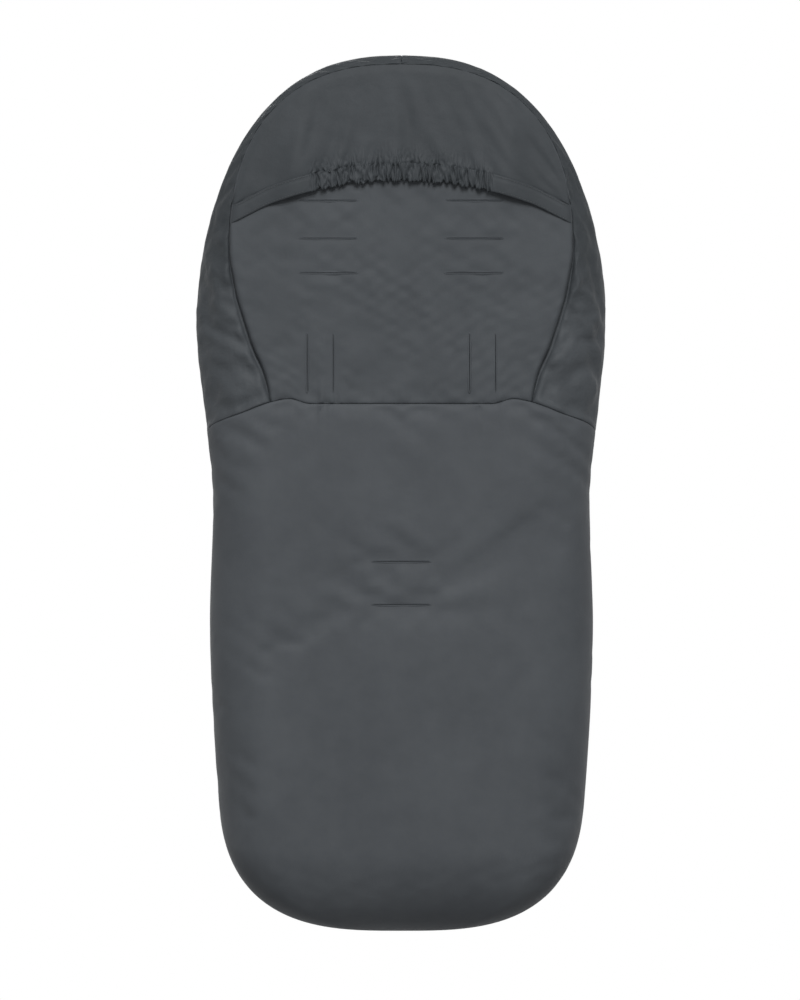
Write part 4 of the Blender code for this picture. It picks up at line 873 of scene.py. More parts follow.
FACING = polyester("slot_facing_cloth", (0.070, 0.078, 0.087), (0.098, 0.108, 0.119), 0.6, 0.6 * MM)
WELT_PROFILE = np.array((
    (0.1, 11.5), (0.1, 4.0), (0.12, 1.5), (0.2, 0.9), (0.4, 0.48), (0.8, 0.3),
    (1.3, 0.26), (1.8, 0.3), (2.2, 0.42), (2.7, 1.2), (1.9, 3.0), (1.8, 11.5),
)) * MM
WELT_INSIDE = 0.4 * MM
WELT_SLANT = 1.2 * MM
WELT_PROUD = 0.8 * MM
WELT_LIP = 1.1 * MM
WELT_LIP_WIDTH = 0.6 * MM


def slot_welt(kind, place, slot):
    """A rolled strip round a slot: its profile of (radius, depth) points carried round the slot's outline.
    Of its two lips one stands a little proud, the lower one or that of an upright slot's right side. Inside
    they lie aslant against each other, so that no light comes through."""
    aside = np.array((1.0, 0, 0) if slot[2] else (0, 0, 1.0)) * WELT_SLANT
    middle = slot_loop(slot, 0)
    off = (slot_loop(slot, MM) - middle) @ (aside / WELT_SLANT) / MM
    rightward = 0 if slot[2] else (middle[:, 0] - slot[0]) / (SLOT_LENGTH / 2)
    uneven = 0.85 + 0.35 * rightward + 0.3 * ripple(middle.sum(axis=1), 17, 40 * MM)
    proud = WELT_PROUD * np.clip(off if slot[2] else -off, -0.3, 1) * uneven
    loops = []
    for radius, depth in WELT_PROFILE:
        slant = aside * ease(depth / LAYERS) * (radius < WELT_INSIDE)
        lip = proud * bell((radius - WELT_LIP) / WELT_LIP_WIDTH) * (depth < LAYERS / 4)
        loops.append(slot_loop(slot, radius) - BACKWARDS * depth + slant + BACKWARDS * lip[:, None])
    rings = np.stack(loops, axis=1)
    around, count = rings.shape[:2]
    index = np.arange(around * count).reshape(around, count)
    turned = np.roll(index, -1, axis=0)
    after = np.roll(index, -1, axis=1)
    quads = np.stack([index, after, np.roll(turned, -1, axis=1), turned], axis=-1).reshape(-1, 4)
    along = np.cumsum(np.linalg.norm(rings - np.roll(rings, 1, axis=0), axis=-1), axis=0)
    up = np.broadcast_to(np.arange(count) * MM, (around, count))
    uv = np.stack([along, up], axis=-1).reshape(-1, 2)
    welt = new_piece(f"{kind}_slot_welt_{place}", rings.reshape(-1, 3), quads, uv, (FACING,))
    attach(welt, "bag")
    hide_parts(f"{kind}_slot_facing_{place}")


SHOULDER_PLACES = [f"{row}_{word}" for row in ("top", "middle", "bottom") for word, side in SIDES]
WAIST_PLACES = [f"{row}_{word}" for row in ("inner", "outer") for word, side in SIDES]
for kind, places, slots in (
    ("shoulder", SHOULDER_PLACES, SHOULDER_SLOTS),
    ("waist", WAIST_PLACES, WAIST_SLOTS),
    ("crotch", ("upper", "lower"), CROTCH_SLOTS),
):
    for place, slot in zip(places, slots):
        slot_welt(kind, place, slot)

# Side wings
# Two padded gussets that stand forward from the back panel to the zips and round the head to a join at the
# crown. Their cloth is cut long, so it puffs up beside the seam and crumples in broad facets.

# The wings' cloth is the slate polyester made darker: painted shade for wings that curve away from the
# light. Its height level adds more painted shade towards the head and paler cloth towards the waist.
WING_SHADED_CLOTH = polyester(
    "dark_slate_polyester", (0.050, 0.057, 0.063), (0.082, 0.091, 0.100), 0.6, 2.6 * MM,
    size=1.3, painted_shade_level=-0.10,
)
SHELL_EDGE = 0.006
WADDING_EDGE = 0.014
RIM_WADDING_EDGE = 0.0075
FLAP_STEP = 0.8 * MM
WING_WIDTH = 0.055
EDGE_STATION = 2.05
EDGE_CALM = 0.88
SEAM_CALM = 0.85
FACET_DEPTH = 5.2 * MM
FACET_LENGTH = 66 * MM
SMALL_FACET_DEPTH = 1.8 * MM
SMALL_FACET_LENGTH = 34 * MM
PUCKER_DEPTH = 1.2 * MM
PUCKER_LENGTH = 17 * MM
CROWN_TUCK = 1.2 * MM
CROWN_TUCK_REACH = 3 * MM
EDGE_LINE = 7 * MM
EDGE_LINE_DEPTH = 1.1 * MM
EDGE_LINE_WIDTH = 1.1 * MM


def from_zip(v):
    """Distance from the zip's own line on the flat strip beside it."""
    return ZIP_FLAT * np.abs(1 - 2 * (np.abs(v) - 3))


def station_from_zip(distance):
    """Station at a distance from the zip's line, which is negative on the cover's side."""
    return 3 + (ZIP_FLAT - distance) / (2 * ZIP_FLAT)


def wall_thickness(v, s, edge):
    """Thickness of the padded wall: the layers as full as the wadding is there, and only the outer cloth on
    the flap beside the zip, past the wadding's edge."""
    v, s = np.broadcast_arrays(v, s)
    full = layers_at(v, s)
    strip = (np.abs(v) > 3 - TINY) & (np.abs(v) < 4 + TINY)
    flap = ease((edge - from_zip(v)) / FLAP_STEP) * strip
    return full + (SHELL - full) * flap


def wing(name, side, seed):
    """One wing: its face from the seam to the flap at the zip or rim, settled and drawn in at its seams."""
    turn = station_from_zip(SHELL_EDGE)
    past_widest = stepped(2, (3, 23), (turn, 10))[1:]
    v = np.concatenate([spaced(1.0, 2.0, metre=1 / WING_WIDTH, fine_high=False), past_widest])
    v = v if side > 0 else -v[::-1]
    s = spaced(WAIST_SEAM_HEIGHT + GAP / 2, HEAD_END, spacing=3.6 * MM)
    base = face(v[None, :], s[:, None])
    normals = facing_out(base)
    at_seam = np.abs(np.abs(v) - 1) < TINY
    normals[:, at_seam] = BACKWARDS
    normals[0, :, 2] = 0
    normals[-1, :, 0] = 0
    normals = unit(normals)
    along, up = arc_lengths(base)
    if side < 0:
        along = along[:, -1:] - along
    coarse_v = np.sign(side) * np.linspace(1, turn, 26)
    coarse_v = coarse_v if side > 0 else coarse_v[::-1]
    coarse_s = np.linspace(s[0], HEAD_END, 76)
    moved = settle(coarse_v, coarse_s, slack=0.05, push=0.2, cap=4.0 * MM, seed=seed)
    shy = np.minimum(1, layers_at(v[None, :], s[:, None]) / LAYERS)
    height = base[..., 2] + HANG_HEIGHT
    at_edge = bell((np.abs(v) - EDGE_STATION) / 0.3)[None, :]
    drawn = seam_tuck(along, height) + waist_tuck(up, base[..., 0], seed + 3) * (1 - SEAM_CALM * at_edge)
    at_crown = tuck(up[-1:] - up, CROWN_TUCK, CROWN_TUCK_REACH)
    drawn = drawn + at_crown * (1 - 0.6 * at_edge) * ease(along / (5 * MM))
    past_rim = (s[:, None] - RIM_START) / RIM_BLEND
    over_head = ease(past_rim) * (1 - at_edge) * (np.abs(v) < 2)[None, :]
    drawn = drawn + PUCKER_DEPTH * np.maximum(ripple(up, seed + 11, PUCKER_LENGTH), 0) ** 2 * over_head
    to_outline = along[:, np.argmin(np.abs(np.abs(v) - 2))][:, None] - along
    line = bell((to_outline - EDGE_LINE) / EDGE_LINE_WIDTH) * ease(past_rim - 0.5)
    drawn = drawn + EDGE_LINE_DEPTH * line * np.clip(0.5 + ripple(up, seed + 13, 30 * MM), 0, 1)
    free = ease(along / (14 * MM)) * ease(up / (10 * MM)) * ease((3.1 - np.abs(v)) / 0.4)[None, :]
    crumple = FACET_DEPTH * crumples(along, up, seed + 7, FACET_LENGTH)
    crumple = crumple + SMALL_FACET_DEPTH * crumples(along, up, seed + 9, SMALL_FACET_LENGTH)
    still = 1 - EDGE_CALM * at_edge
    drawn = drawn + crumple * free * still * shy**2
    edge = WADDING_EDGE + (RIM_WADDING_EDGE - WADDING_EDGE) * ease((s - RIM_START) / RIM_BLEND)
    thick = wall_thickness(v[None, :], s[:, None], edge[:, None])
    moved = settled(moved, coarse_v, coarse_s, v, s) * (still * shy)[..., None] - normals * drawn[..., None]
    outer = base + above_lining(moved, normals, thick)
    inner = base - normals * thick[..., None]
    piece = padded_wall(name, outer, inner, (WING_SHADED_CLOTH, FLEECE))
    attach(piece, "bag")
    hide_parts(f"{name}_shell", f"{name}_wadding", f"{name}_lining")


wing("wing_left", -1, 31)
wing("wing_right", 1, 47)

# Lower bag
# The padded bag round the legs: one piece over the back and both sides as far as the zips, and all round the
# foot. It hangs almost smooth, drawn in at the waist seam, with two slots for the crotch strap.

TOE_CALM = 0.06
TOE_CALM_OVER = 0.09
bag_turn = station_from_zip(SHELL_EDGE)
half_v = stepped(0, (1, 47), (2, 21), (3, 19), (bag_turn, 10), (4, 7), (5, 29))
bag_v = np.concatenate([-half_v[:0:-1], half_v])
toe_s = HINGE_HEIGHT * (1 - np.cos(np.linspace(0, math.pi / 2, 34)))
above_toe = spaced(HINGE_HEIGHT, WAIST_SEAM_HEIGHT - GAP / 2, spacing=4.5 * MM, fine_low=False)
bag_s = np.concatenate([toe_s[:-1], above_toe])
bag_face = face(bag_v[None, :], bag_s[:, None])
bag_normals = facing_out(bag_face)
bag_normals[:, [0, -1], 0] = 0
bag_normals[-1, :, 2] = 0
bag_normals = unit(bag_normals)
coarse_v = np.linspace(-bag_turn, bag_turn, 79)
coarse_s = np.linspace(0.03, bag_s[-1], 64)
bag_moved = settle(
    coarse_v, coarse_s, slack=0.010, push=0.2, cap=2.4 * MM, seed=61,
    held=lambda points: slot_distance(points, CROTCH_SLOTS) < SLOT_CALM,
)
bag_from_waist = arc_lengths(bag_face[::-1])[1][::-1]
bag_at_edge = bell((np.abs(bag_v) - EDGE_STATION) / 0.4)[None, :]
bag_drawn = waist_tuck(bag_from_waist, bag_face[..., 0], 71) * (1 - SEAM_CALM * bag_at_edge)
on_back = (np.abs(bag_v) <= 1)[None, :]
bag_drawn = bag_drawn + slot_dip(bag_face, CROTCH_SLOTS) * on_back
behind_zip = (np.abs(bag_v) <= bag_turn + TINY)[None, :]
bag_edge = WADDING_EDGE * np.where(bag_s < HINGE_HEIGHT - TINY, 0, 1)[:, None]
bag_thick = wall_thickness(bag_v[None, :], np.maximum(bag_s, TINY)[:, None], bag_edge)
past_toe = ease((bag_s[:, None] - TOE_CALM) / TOE_CALM_OVER)
bag_calm = behind_zip * (1 - 0.7 * bag_at_edge) * (0.3 + 0.7 * past_toe)
bag_settled = settled(bag_moved, coarse_v, coarse_s, bag_v, bag_s) * bag_calm[..., None]
bag_settled = bag_settled - bag_normals * bag_drawn[..., None]
bag_out = bag_face + above_lining(bag_settled, bag_normals, bag_thick)
bag_in = bag_face - bag_normals * bag_thick[..., None]
in_toe = (bag_s[1:] <= HINGE_HEIGHT + TINY)[:, None]
cell_behind = behind_zip[:, 1:] & behind_zip[:, :-1]
lower_bag = padded_wall("lower_bag", bag_out, bag_in, (SLATE, FLEECE), in_toe | cell_behind)
cut_slots(lower_bag, CROTCH_SLOTS)
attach(lower_bag, "bag")
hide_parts("lower_bag_shell", "lower_bag_wadding", "lower_bag_lining")

# Seat pocket
# One layer of cloth over the head end, sewn in with the wing seam and open below, so that it slips over the
# top of the seat back. Folds run up from its gathered hem. It is built in two halves, here at rest.

HEM_END_HEIGHT = LENGTH - 0.181
HEM_RISE = 0.045
HEM_ARCH = 2.05
HEM_WIDTH = 0.018
GATHER_HALF_WIDTH = 0.104
GATHER_FADE = 13 * MM
PLEAT_PITCH = 9.0 * MM
PLEAT_DRIFT = 2.2 * MM
BROAD_PLEATS = 0.75
NARROW_PLEATS = 0.45
PLEAT_DROP = 4.2 * MM
PLEAT_RISE = 1.8 * MM
HEM_BLEND = {
    side: dict(start=(side * 0.180, 0, -0.150), end=(side * 0.1315, 0, -0.2122)) for side in (-1, 1)
}
POCKET_STAND_OFF = 0.011
POCKET_CLEAR = 0.6 * MM
POCKET_OVERLAP = 3.0 * MM
POCKET_LIFT = 0.118
POCKET_LIFT_WIDTH = 0.022
POCKET_ROUND = 0.8
POCKET_FADE = 1.8
POCKET_CLOTH = 0.9 * MM
GATHER_DEPTH = 4.9 * MM
POCKET_LEAST_OFF = 2.2 * MM
HEM_HANG = 1.5 * MM


def gathers(x, up):
    """Height of the elastic's gathers, 0 to about 1, up being the height above the hem's middle: the size of
    a wave across the hem, so that valleys are sharp and backs round, with its pitch uneven and small pleats
    on top. The wave leans and wavers as it rises."""
    lean = 0.7 * ripple(x, 7, 26 * MM)
    waver = 1.5 * MM * ripple(up + 0.6 * x, 6, 11 * MM, 4) + PLEAT_DRIFT * ripple(x, 5, 34 * MM, 4)
    broad = np.abs(np.sin(math.pi * (x + lean * up + waver) / PLEAT_PITCH))
    narrow = np.abs(ripple(x - 0.5 * lean * up + waver, 12, 8 * MM, 5))
    inside = ease((GATHER_HALF_WIDTH - np.abs(x)) / GATHER_FADE)
    return (BROAD_PLEATS * broad + NARROW_PLEATS * np.minimum(narrow, 1)) * inside


def hem_foot(x):
    """Height of the hem's lower edge: an arch between its sewn ends."""
    return HEM_END_HEIGHT + HEM_RISE * (1 - (np.abs(x) / PANEL_HALF_WIDTH) ** HEM_ARCH)


def stand_off(x, share):
    """How far the pocket stands off the panel: most beside the gathers, nothing at its sewn edges."""
    half = float(seam_half_width(HEM_END_HEIGHT + HEM_WIDTH))
    across = np.clip(1 - (x / half) ** 2, 0, 1) ** POCKET_ROUND
    lifted = 0.35 + 0.9 * bell((np.abs(x) - POCKET_LIFT) / POCKET_LIFT_WIDTH)
    return GAP + POCKET_CLEAR + POCKET_STAND_OFF * across * lifted * (1 - share**POCKET_FADE)


# The pocket's cloth is the slate polyester made darker: painted shade, on the pocket and on its hem.
POCKET = polyester("pocket_polyester", (0.051, 0.058, 0.064), (0.066, 0.074, 0.082), 0.6, 1.4 * MM)
pocket_half = float(seam_half_width(HEM_END_HEIGHT + HEM_WIDTH)) - 0.4 * MM
half_x = stepped(0, (GATHER_HALF_WIDTH, 149), (pocket_half, 33))
pocket_share = stepped(0, (0.25, 25), (1, 45)) ** 1.15
SMALL_PLEAT_FADE = 7 * MM
FOLD_DEPTH = 2.4 * MM
FOLD_LENGTH = 36 * MM
FOLD_FADE = 30 * MM
BROAD_FOLD_DEPTH = 1.2 * MM
BROAD_FOLD_LENGTH = 52 * MM
BROAD_FOLD_FADE = 90 * MM
SOFT_DEPTH = 0.7 * MM
INTO_HEM = 1.8 * MM
INTO_HEM_FADE = 2 * MM
POCKET_PLEAT_MIDDLE = 0.45


def reach_seam(x, height):
    """Moves the outermost columns out or in to end on the wing seam at each height."""
    seam = seam_half_width(np.minimum(height, HEM_END_HEIGHT + 0.03))
    return x * (1 + (seam / pocket_half - 1) * (np.abs(x) / pocket_half) ** 6)


def pocket_points(x):
    """Outer points of the pocket over columns at x: from the top of the hem to the arched seam at the crown,
    lying on the panel there, with pleats that run out a little above the hem and broad folds that spread as
    they rise."""
    x = x[None, :]
    share = pocket_share[:, None]
    foot = hem_foot(x) + HEM_WIDTH - POCKET_OVERLAP
    rise = (1 - (np.abs(x) / (PANEL_HALF_WIDTH - 0.2 * MM)) ** ARCH_ACROSS) ** (1 / PANEL_ARCH_UP)
    head = PANEL_WIDE_HEIGHT + (PANEL_TOP - 0.3 * MM - PANEL_WIDE_HEIGHT) * rise
    height = foot + np.maximum(head - foot, 0.3 * MM) * share
    x = reach_seam(x + 0 * share, height)
    points = np.stack([x, 0 * x, height - HANG_HEIGHT], axis=-1)
    above = height - foot
    spread = x * (1 + 6 * above)
    inside = ease((GATHER_HALF_WIDTH - np.abs(x)) / GATHER_FADE)
    pleats = gathers(x, above + HEM_WIDTH / 2) - POCKET_PLEAT_MIDDLE * inside
    small = GATHER_DEPTH * pleats * np.exp(-above / SMALL_PLEAT_FADE)
    inside = ease((GATHER_HALF_WIDTH + 0.02 - np.abs(x)) / 0.04)
    folds = FOLD_DEPTH * ripple(spread, 83, FOLD_LENGTH) * np.exp(-above / FOLD_FADE) * inside
    broad = BROAD_FOLD_DEPTH * ripple(spread + 0.5 * above, 85, BROAD_FOLD_LENGTH)
    folds = folds + broad * np.exp(-above / BROAD_FOLD_FADE) * ease(above / (15 * MM))
    seam = from_line(points, SEAM_LINE)
    edge = ease(seam / (12 * MM))
    soft = SOFT_DEPTH * ripple(x * 0.8 + height, 87, 60 * MM) * ripple(height, 89, 50 * MM)
    into_hem = INTO_HEM * np.exp(-above / INTO_HEM_FADE)
    relief = (small + folds + soft - into_hem) * edge
    out = stand_off(x, share) * ease(seam / (9 * MM)) + POCKET_CLOTH + relief
    out = np.maximum(out, POCKET_LEAST_OFF * ease(seam / (20 * MM)))
    points[..., 1] = -out + seam_tuck(seam, height, PANEL_CREASE_SPREAD)
    return points


for word, side in SIDES:
    columns = half_x if side > 0 else -half_x[::-1]
    outer = pocket_points(columns)
    inner = outer - BACKWARDS * POCKET_CLOTH
    pocket = padded_wall(f"seat_pocket_{word}", outer, inner, (POCKET,))
    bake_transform(pocket)
    if side > 0:
        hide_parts("seat_pocket")

# Pocket hem
# The pocket's lower edge, turned up into a channel. The elastic inside it gathers the middle into tight
# uneven pleats, and its two ends lie flat.

HEM_AROUND = 26
HEM_THICK = 2.0 * MM
HEM_GATHERED = 0.9 * MM
HEM_STITCH_DIP = 0.5 * MM
HEM_STITCH_DROP = 3.2 * MM
HEM_END = 0.140
HEM_SIDE = 9 * MM
HEM_PLEAT_MIDDLE = 0.4
HEM_LOBE_MIDDLE = 0.75


def hem_points(x):
    """Rings across the hem: a flat rounded section, thicker in its gathered middle, where the pleats stand
    out and hang below the lower edge in round lobes."""
    angle = round_turn(HEM_AROUND)[None, :]
    cos, sin = np.cos(angle), np.sin(angle)
    x = x[:, None]
    gathered = ease((GATHER_HALF_WIDTH - np.abs(x)) / GATHER_FADE)
    up = HEM_WIDTH / 2 * (1 + np.sign(cos) * np.abs(cos) ** 0.75)
    gather = gathers(x + 0 * up, up - HEM_WIDTH / 2)
    thick = HEM_THICK + HEM_GATHERED * gathered
    out = thick / 2 * (1 + np.sign(sin) * np.abs(sin) ** 0.7)
    outer_side = ease((sin + 0.35) / 0.7)
    out = out + outer_side * GATHER_DEPTH * (gather - HEM_PLEAT_MIDDLE * gathered)
    hang = np.where(cos < 0, PLEAT_DROP, PLEAT_RISE)
    up = up + (gather - HEM_LOBE_MIDDLE * gathered) * hang * cos
    flat = (1 - gathered) * bell((up - HEM_WIDTH + HEM_STITCH_DROP) / (1.1 * MM))
    out = out - outer_side * HEM_STITCH_DIP * flat
    foot = hem_foot(x) - HEM_HANG * (1 + 2.6 * ease((np.abs(x) - HEM_END) / 0.044))
    up = up * (1 + HEM_HANG / HEM_WIDTH)
    to_seam = pocket_half - np.abs(x)
    inner = ease(to_seam / HEM_SIDE)
    base = (stand_off(x, 0 * x) - 0.4 * MM) * inner + 0.3 * MM * (1 - inner)
    y = -base - out * (0.25 + 0.75 * inner) + seam_tuck(to_seam, foot, PANEL_CREASE_SPREAD)
    return np.stack([reach_seam(x + 0 * up, foot + up), y, foot + up - HANG_HEIGHT], axis=-1)


def closed_tube(name, rings, finish, lengthways):
    """A tube through rings of points, closed at both ends by a fan of faces."""
    count, around = rings.shape[:2]
    index = np.arange(count * around).reshape(count, around)
    after = np.roll(index, -1, axis=1)
    quads = np.stack([index[:-1], after[:-1], after[1:], index[1:]], axis=-1).reshape(-1, 4)
    faces = quads.tolist() + [index[0, ::-1].tolist(), index[-1].tolist()]
    reach = np.linalg.norm(rings - np.roll(rings, 1, axis=1), axis=-1).cumsum(axis=1)
    uv = np.stack([np.broadcast_to(lengthways[:, None], reach.shape), reach], axis=-1).reshape(-1, 2)
    piece = new_piece(name, rings.reshape(-1, 3), faces, uv, (finish,))
    turn_outwards(piece.data)
    return piece


# The hem takes the pocket's darker cloth, with its painted shade.
hem_x = stepped(0, (GATHER_HALF_WIDTH, 229), (pocket_half, 39))
for word, side in SIDES:
    columns = hem_x if side > 0 else -hem_x[::-1]
    hem = closed_tube(f"pocket_hem_{word}", hem_points(columns), POCKET, columns)
    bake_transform(hem)
    if side > 0:
        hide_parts("pocket_hem", "pocket_hem_elastic")

# Rim binding
# A folded strip of darker cloth sewn round the wings' raw front edge, over the head from zip to zip. The
# elastic in its fold draws it up a little, so it lies in fine gathers.


def plain_cloth(name, dark, light, pitch, roughness):
    """A narrow woven tape: weave and a faint cloud of shade."""
    material, tree, shader, place = start_material(name)
    threads = weave(tree, pitch)
    cloth = use_group(tree, CRINKLE, place, Size=2.0).outputs
    shade = share_of(tree, 0.5, threads["Shade"], cloth["Cloud"])
    tree.links.new(two_tone(tree, shade, dark, light), shader.inputs["Base Color"])
    soft = bump(tree, cloth["Height"], 0.5 * MM)
    tree.links.new(bump(tree, threads["Height"], 0.12 * MM, 0.8, soft), shader.inputs["Normal"])
    set_values(shader, {"Roughness": roughness, "Specular IOR Level": 0.3})
    return material


BINDING = plain_cloth("dark_binding", (0.046, 0.052, 0.057), (0.064, 0.071, 0.077), 0.9, 0.72)
BINDING_FLANGE = 0.008
BINDING_TURN = 0.005
BINDING_FOLD = 0.0024
BINDING_CLOTH = 0.0009
BINDING_GATHER = 0.55 * MM
BINDING_WAVE = 0.5 * MM

rim_s = np.linspace(RIM_START + 0.002, HEAD_END, 560)
rim_v = np.array([station_from_zip(SHELL_EDGE) - 0.02, station_from_zip(SHELL_EDGE)])
rim_face = face(rim_v[None, :], rim_s[:, None])
rim_wide = face(np.linspace(2.2, rim_v[1], 40)[None, :], rim_s[:, None])
rim_normals = facing_out(rim_wide)[:, -1]
rim_normals[-1, 0] = 0
rim_normals = unit(rim_normals)
rim_edge = rim_face[:, 1]
rim_along = unit(rim_face[:, 1] - rim_face[:, 0])
rim_thick = layers_at(rim_v[1], rim_s)
mirror = np.array((-1, 1, 1))
rim_edge, rim_normals, rim_along = (
    np.concatenate([part, part[-2::-1] * mirror]) for part in (rim_edge, rim_normals, rim_along)
)
rim_thick = np.concatenate([rim_thick, rim_thick[-2::-1]])
rim_run = np.cumsum(np.linalg.norm(np.diff(rim_edge, axis=0, prepend=rim_edge[:1]), axis=1))


def binding_rings():
    """Rings of the folded strip: out along the outer face, round the edge and back under the lining, then
    returning one cloth's thickness inside, with gathers that swell its fold and shift its sewn edges."""
    slow = ripple(rim_run, 93, 26 * MM)
    swell = BINDING_GATHER * ripple(rim_run, 91, 7 * MM) + BINDING_WAVE * slow
    below = -rim_thick - 0.3 * MM
    mid = below / 2
    fold = BINDING_FOLD + swell
    inner_fold = fold - BINDING_CLOTH
    cloth = BINDING_CLOTH
    profile = [
        (-BINDING_FLANGE + 0.3 * slow * MM, 0.25 * MM),
        (-BINDING_FLANGE + 0.3 * slow * MM, 0.2 * MM + cloth),
        (-0.55 * BINDING_FLANGE, 0.5 * MM + cloth + 0.3 * swell),
        (-0.1 * BINDING_FLANGE, 0.35 * MM + cloth + 0.3 * swell),
        (0.6 * fold, 0.1 * MM + 0.4 * cloth),
        (0.95 * fold, 0.45 * mid),
        (fold, mid),
        (0.95 * fold, 1.55 * mid),
        (0.6 * fold, below - 0.6 * cloth),
        (-0.1 * BINDING_TURN, below - cloth - 0.3 * swell),
        (-BINDING_TURN, below - cloth),
        (-BINDING_TURN, below),
        (0.4 * inner_fold, below + 0.2 * MM),
        (0.8 * inner_fold, 1.4 * mid),
        (0.8 * inner_fold, 0.6 * mid),
        (0.4 * inner_fold, 0.0),
    ]
    rings = []
    for past, rise in profile:
        along = rim_along * (past + 0 * rim_run)[:, None]
        rings.append(rim_edge + along + rim_normals * (rise + 0 * rim_run)[:, None])
    return np.stack(rings, axis=1)


binding = closed_tube("head_binding", binding_rings(), BINDING, rim_run)
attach(binding, "bag")
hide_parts("rim_binding", "rim_elastic")

# Stitching
# Sewing thread in matching grey: small raised stitches beside the seams that carry the load.

THREAD = plain_cloth("grey_thread", (0.085, 0.093, 0.10), (0.13, 0.14, 0.15), 0.3, 0.55)
STITCH_PITCH = 3.3 * MM
STITCH_LENGTH = 2.5 * MM
STITCH_HALF_WIDTH = 0.28 * MM
STITCH_LIFT = 0.1 * MM


def read_along(values, run, places):
    """The values along a path, read at places along it."""
    return np.stack([np.interp(places, run, values[:, i]) for i in range(3)], axis=-1)


def stitches(name, path, outward, blend=None):
    """A line of stitches: one small lozenge of 14 points, repeated at an even pitch along a path, lying on
    the cloth whose outward direction is given."""
    run = np.cumsum(np.linalg.norm(np.diff(path, axis=0, prepend=path[:1]), axis=1))
    count = int(run[-1] / STITCH_PITCH)
    middles = (np.arange(count) + 0.5) * STITCH_PITCH
    centre = read_along(path, run, middles)
    out = unit(read_along(outward, run, middles))
    along = unit(read_along(path, run, middles + STITCH_PITCH / 2) - centre)
    side = unit(np.cross(out, along))
    angles = round_turn(6)
    ring = np.stack([np.cos(angles), np.sin(angles)], -1) * STITCH_HALF_WIDTH
    tip = np.zeros((1, 2))
    parts = []
    for far, loop in zip(np.array((-0.5, -0.36, 0.36, 0.5)) * STITCH_LENGTH, (tip, ring, ring, tip)):
        beside = side[:, None] * loop[None, :, :1]
        lifted = out[:, None] * (loop[None, :, 1:] + STITCH_LIFT)
        parts.append(centre[:, None] + along[:, None] * far + beside + lifted)
    points = np.concatenate(parts, axis=1)
    i = np.arange(6)
    j = (i + 1) % 6
    start = np.stack([0 * i, 1 + j, 1 + i, 1 + i], -1)
    middle = np.stack([1 + i, 1 + j, 7 + j, 7 + i], -1)
    end = np.stack([7 + i, 7 + j, 13 + 0 * i, 13 + 0 * i], -1)
    faces = np.concatenate([start, middle, end])
    faces = faces[None] + (np.arange(count) * points.shape[1])[:, None, None]
    every = [list(dict.fromkeys(face_points)) for face_points in faces.reshape(-1, 4).tolist()]
    uv = np.tile(np.linspace(0, 0.01, points.shape[1])[:, None], (count, 2))
    piece = new_piece(name, points.reshape(-1, 3), every, uv, (THREAD,))
    turn_outwards(piece.data)
    carry(piece, blend)


flange = 0.75 * BINDING_FLANGE
stitches(
    "binding_stitches",
    rim_edge - rim_along * flange + rim_normals * (BINDING_CLOTH + 0.55 * MM),
    rim_normals,
)
for word, side in SIDES:
    columns = np.linspace(0.5 * MM, pocket_half - 4 * MM, 160) * side
    rings = hem_points(columns)[np.abs(columns) > GATHER_HALF_WIDTH + 2 * MM]
    for place, spot in (("upper", 3), ("lower", 10)):
        path = rings[:, spot]
        outward = np.broadcast_to(BACKWARDS, path.shape)
        stitches(f"hem_stitches_{place}_{word}", path, outward, (("bag", "pocket_hem"), HEM_BLEND[side]))

# Zips
# One coil zip up each side. The bag's tape and the cover's tape carry a row of small teeth each, which lock
# into each other; a bent metal stop ends the bag's row, and a dark metal slider with a pull tab runs on it.

COIL_TOP = CHEST_HEIGHT - 0.008
COIL_FOOT = HINGE_HEIGHT + 0.0006
PIVOT_HEIGHT = COIL_TOP + 0.005 + 0.015
BAG_COIL_TOP = PIVOT_HEIGHT + 0.004 + 0.003 - GAP
TAPE_TOP = BAG_COIL_TOP + GAP + 0.003 + 0.0015
TAPE_DEPTH = SHELL + GAP
TAPE_THICKNESS = 0.0008
TOOTH_PITCH = 1.5 * MM
TOOTH_ACROSS = np.array((-0.5, -0.1, 1.4, 2.9)) * MM
TOOTH_WIDE = np.array((0.42, 0.62, 0.45, 0.5)) * TOOTH_PITCH / 2
TOOTH_TALL = np.array((0.55, 0.8, 0.95, 0.7)) * MM
TOOTH_LIFT = 0.15 * MM
TAPE_CLOTH = plain_cloth("zip_tape", (0.018, 0.019, 0.021), (0.034, 0.036, 0.039), 0.8, 0.8)
TAPE_ACROSS = np.array((0.15, 0.6, 1.6, 3.0, 3.4, 3.8, 4.2, 4.6, 6.0, 8.0, 10.0, 12.0, 13.7)) * MM
TAPE_CORD = np.array((0, 0, 0, 0, 0.35, 0.5, 0.35, 0, 0, 0, 0, 0, 0)) * MM
STITCH_FROM_ZIP = SHELL_EDGE + 2.2 * MM
APRON_FOLD = HINGE_HEIGHT - HANG_HEIGHT
APRON_BLEND = (("bag", "apron"), dict(start=(0, 0, APRON_FOLD), end=(0, 0, APRON_FOLD + 0.05)))


def moulded(name, dark, light, roughness, metallic=0.0):
    """A hard finish with fine uneven shade: moulded teeth or dull plated metal."""
    material, tree, shader, place = start_material(name)
    grain = noise(tree, place, 700.0, 3.0, 0.6)
    tree.links.new(two_tone(tree, grain, dark, light), shader.inputs["Base Color"])
    varying = maths(tree, "MULTIPLY_ADD", noise(tree, place, 260.0, 2.0), 0.25, roughness - 0.12)
    tree.links.new(varying, shader.inputs["Roughness"])
    tree.links.new(bump(tree, grain, 0.03 * MM, 0.6), shader.inputs["Normal"])
    shader.inputs["Metallic"].default_value = metallic
    return material


COIL = moulded("zip_coil", (0.012, 0.012, 0.013), (0.022, 0.022, 0.024), 0.42)
METAL = moulded("dark_zip_metal", (0.085, 0.086, 0.09), (0.14, 0.14, 0.145), 0.34, 0.9)


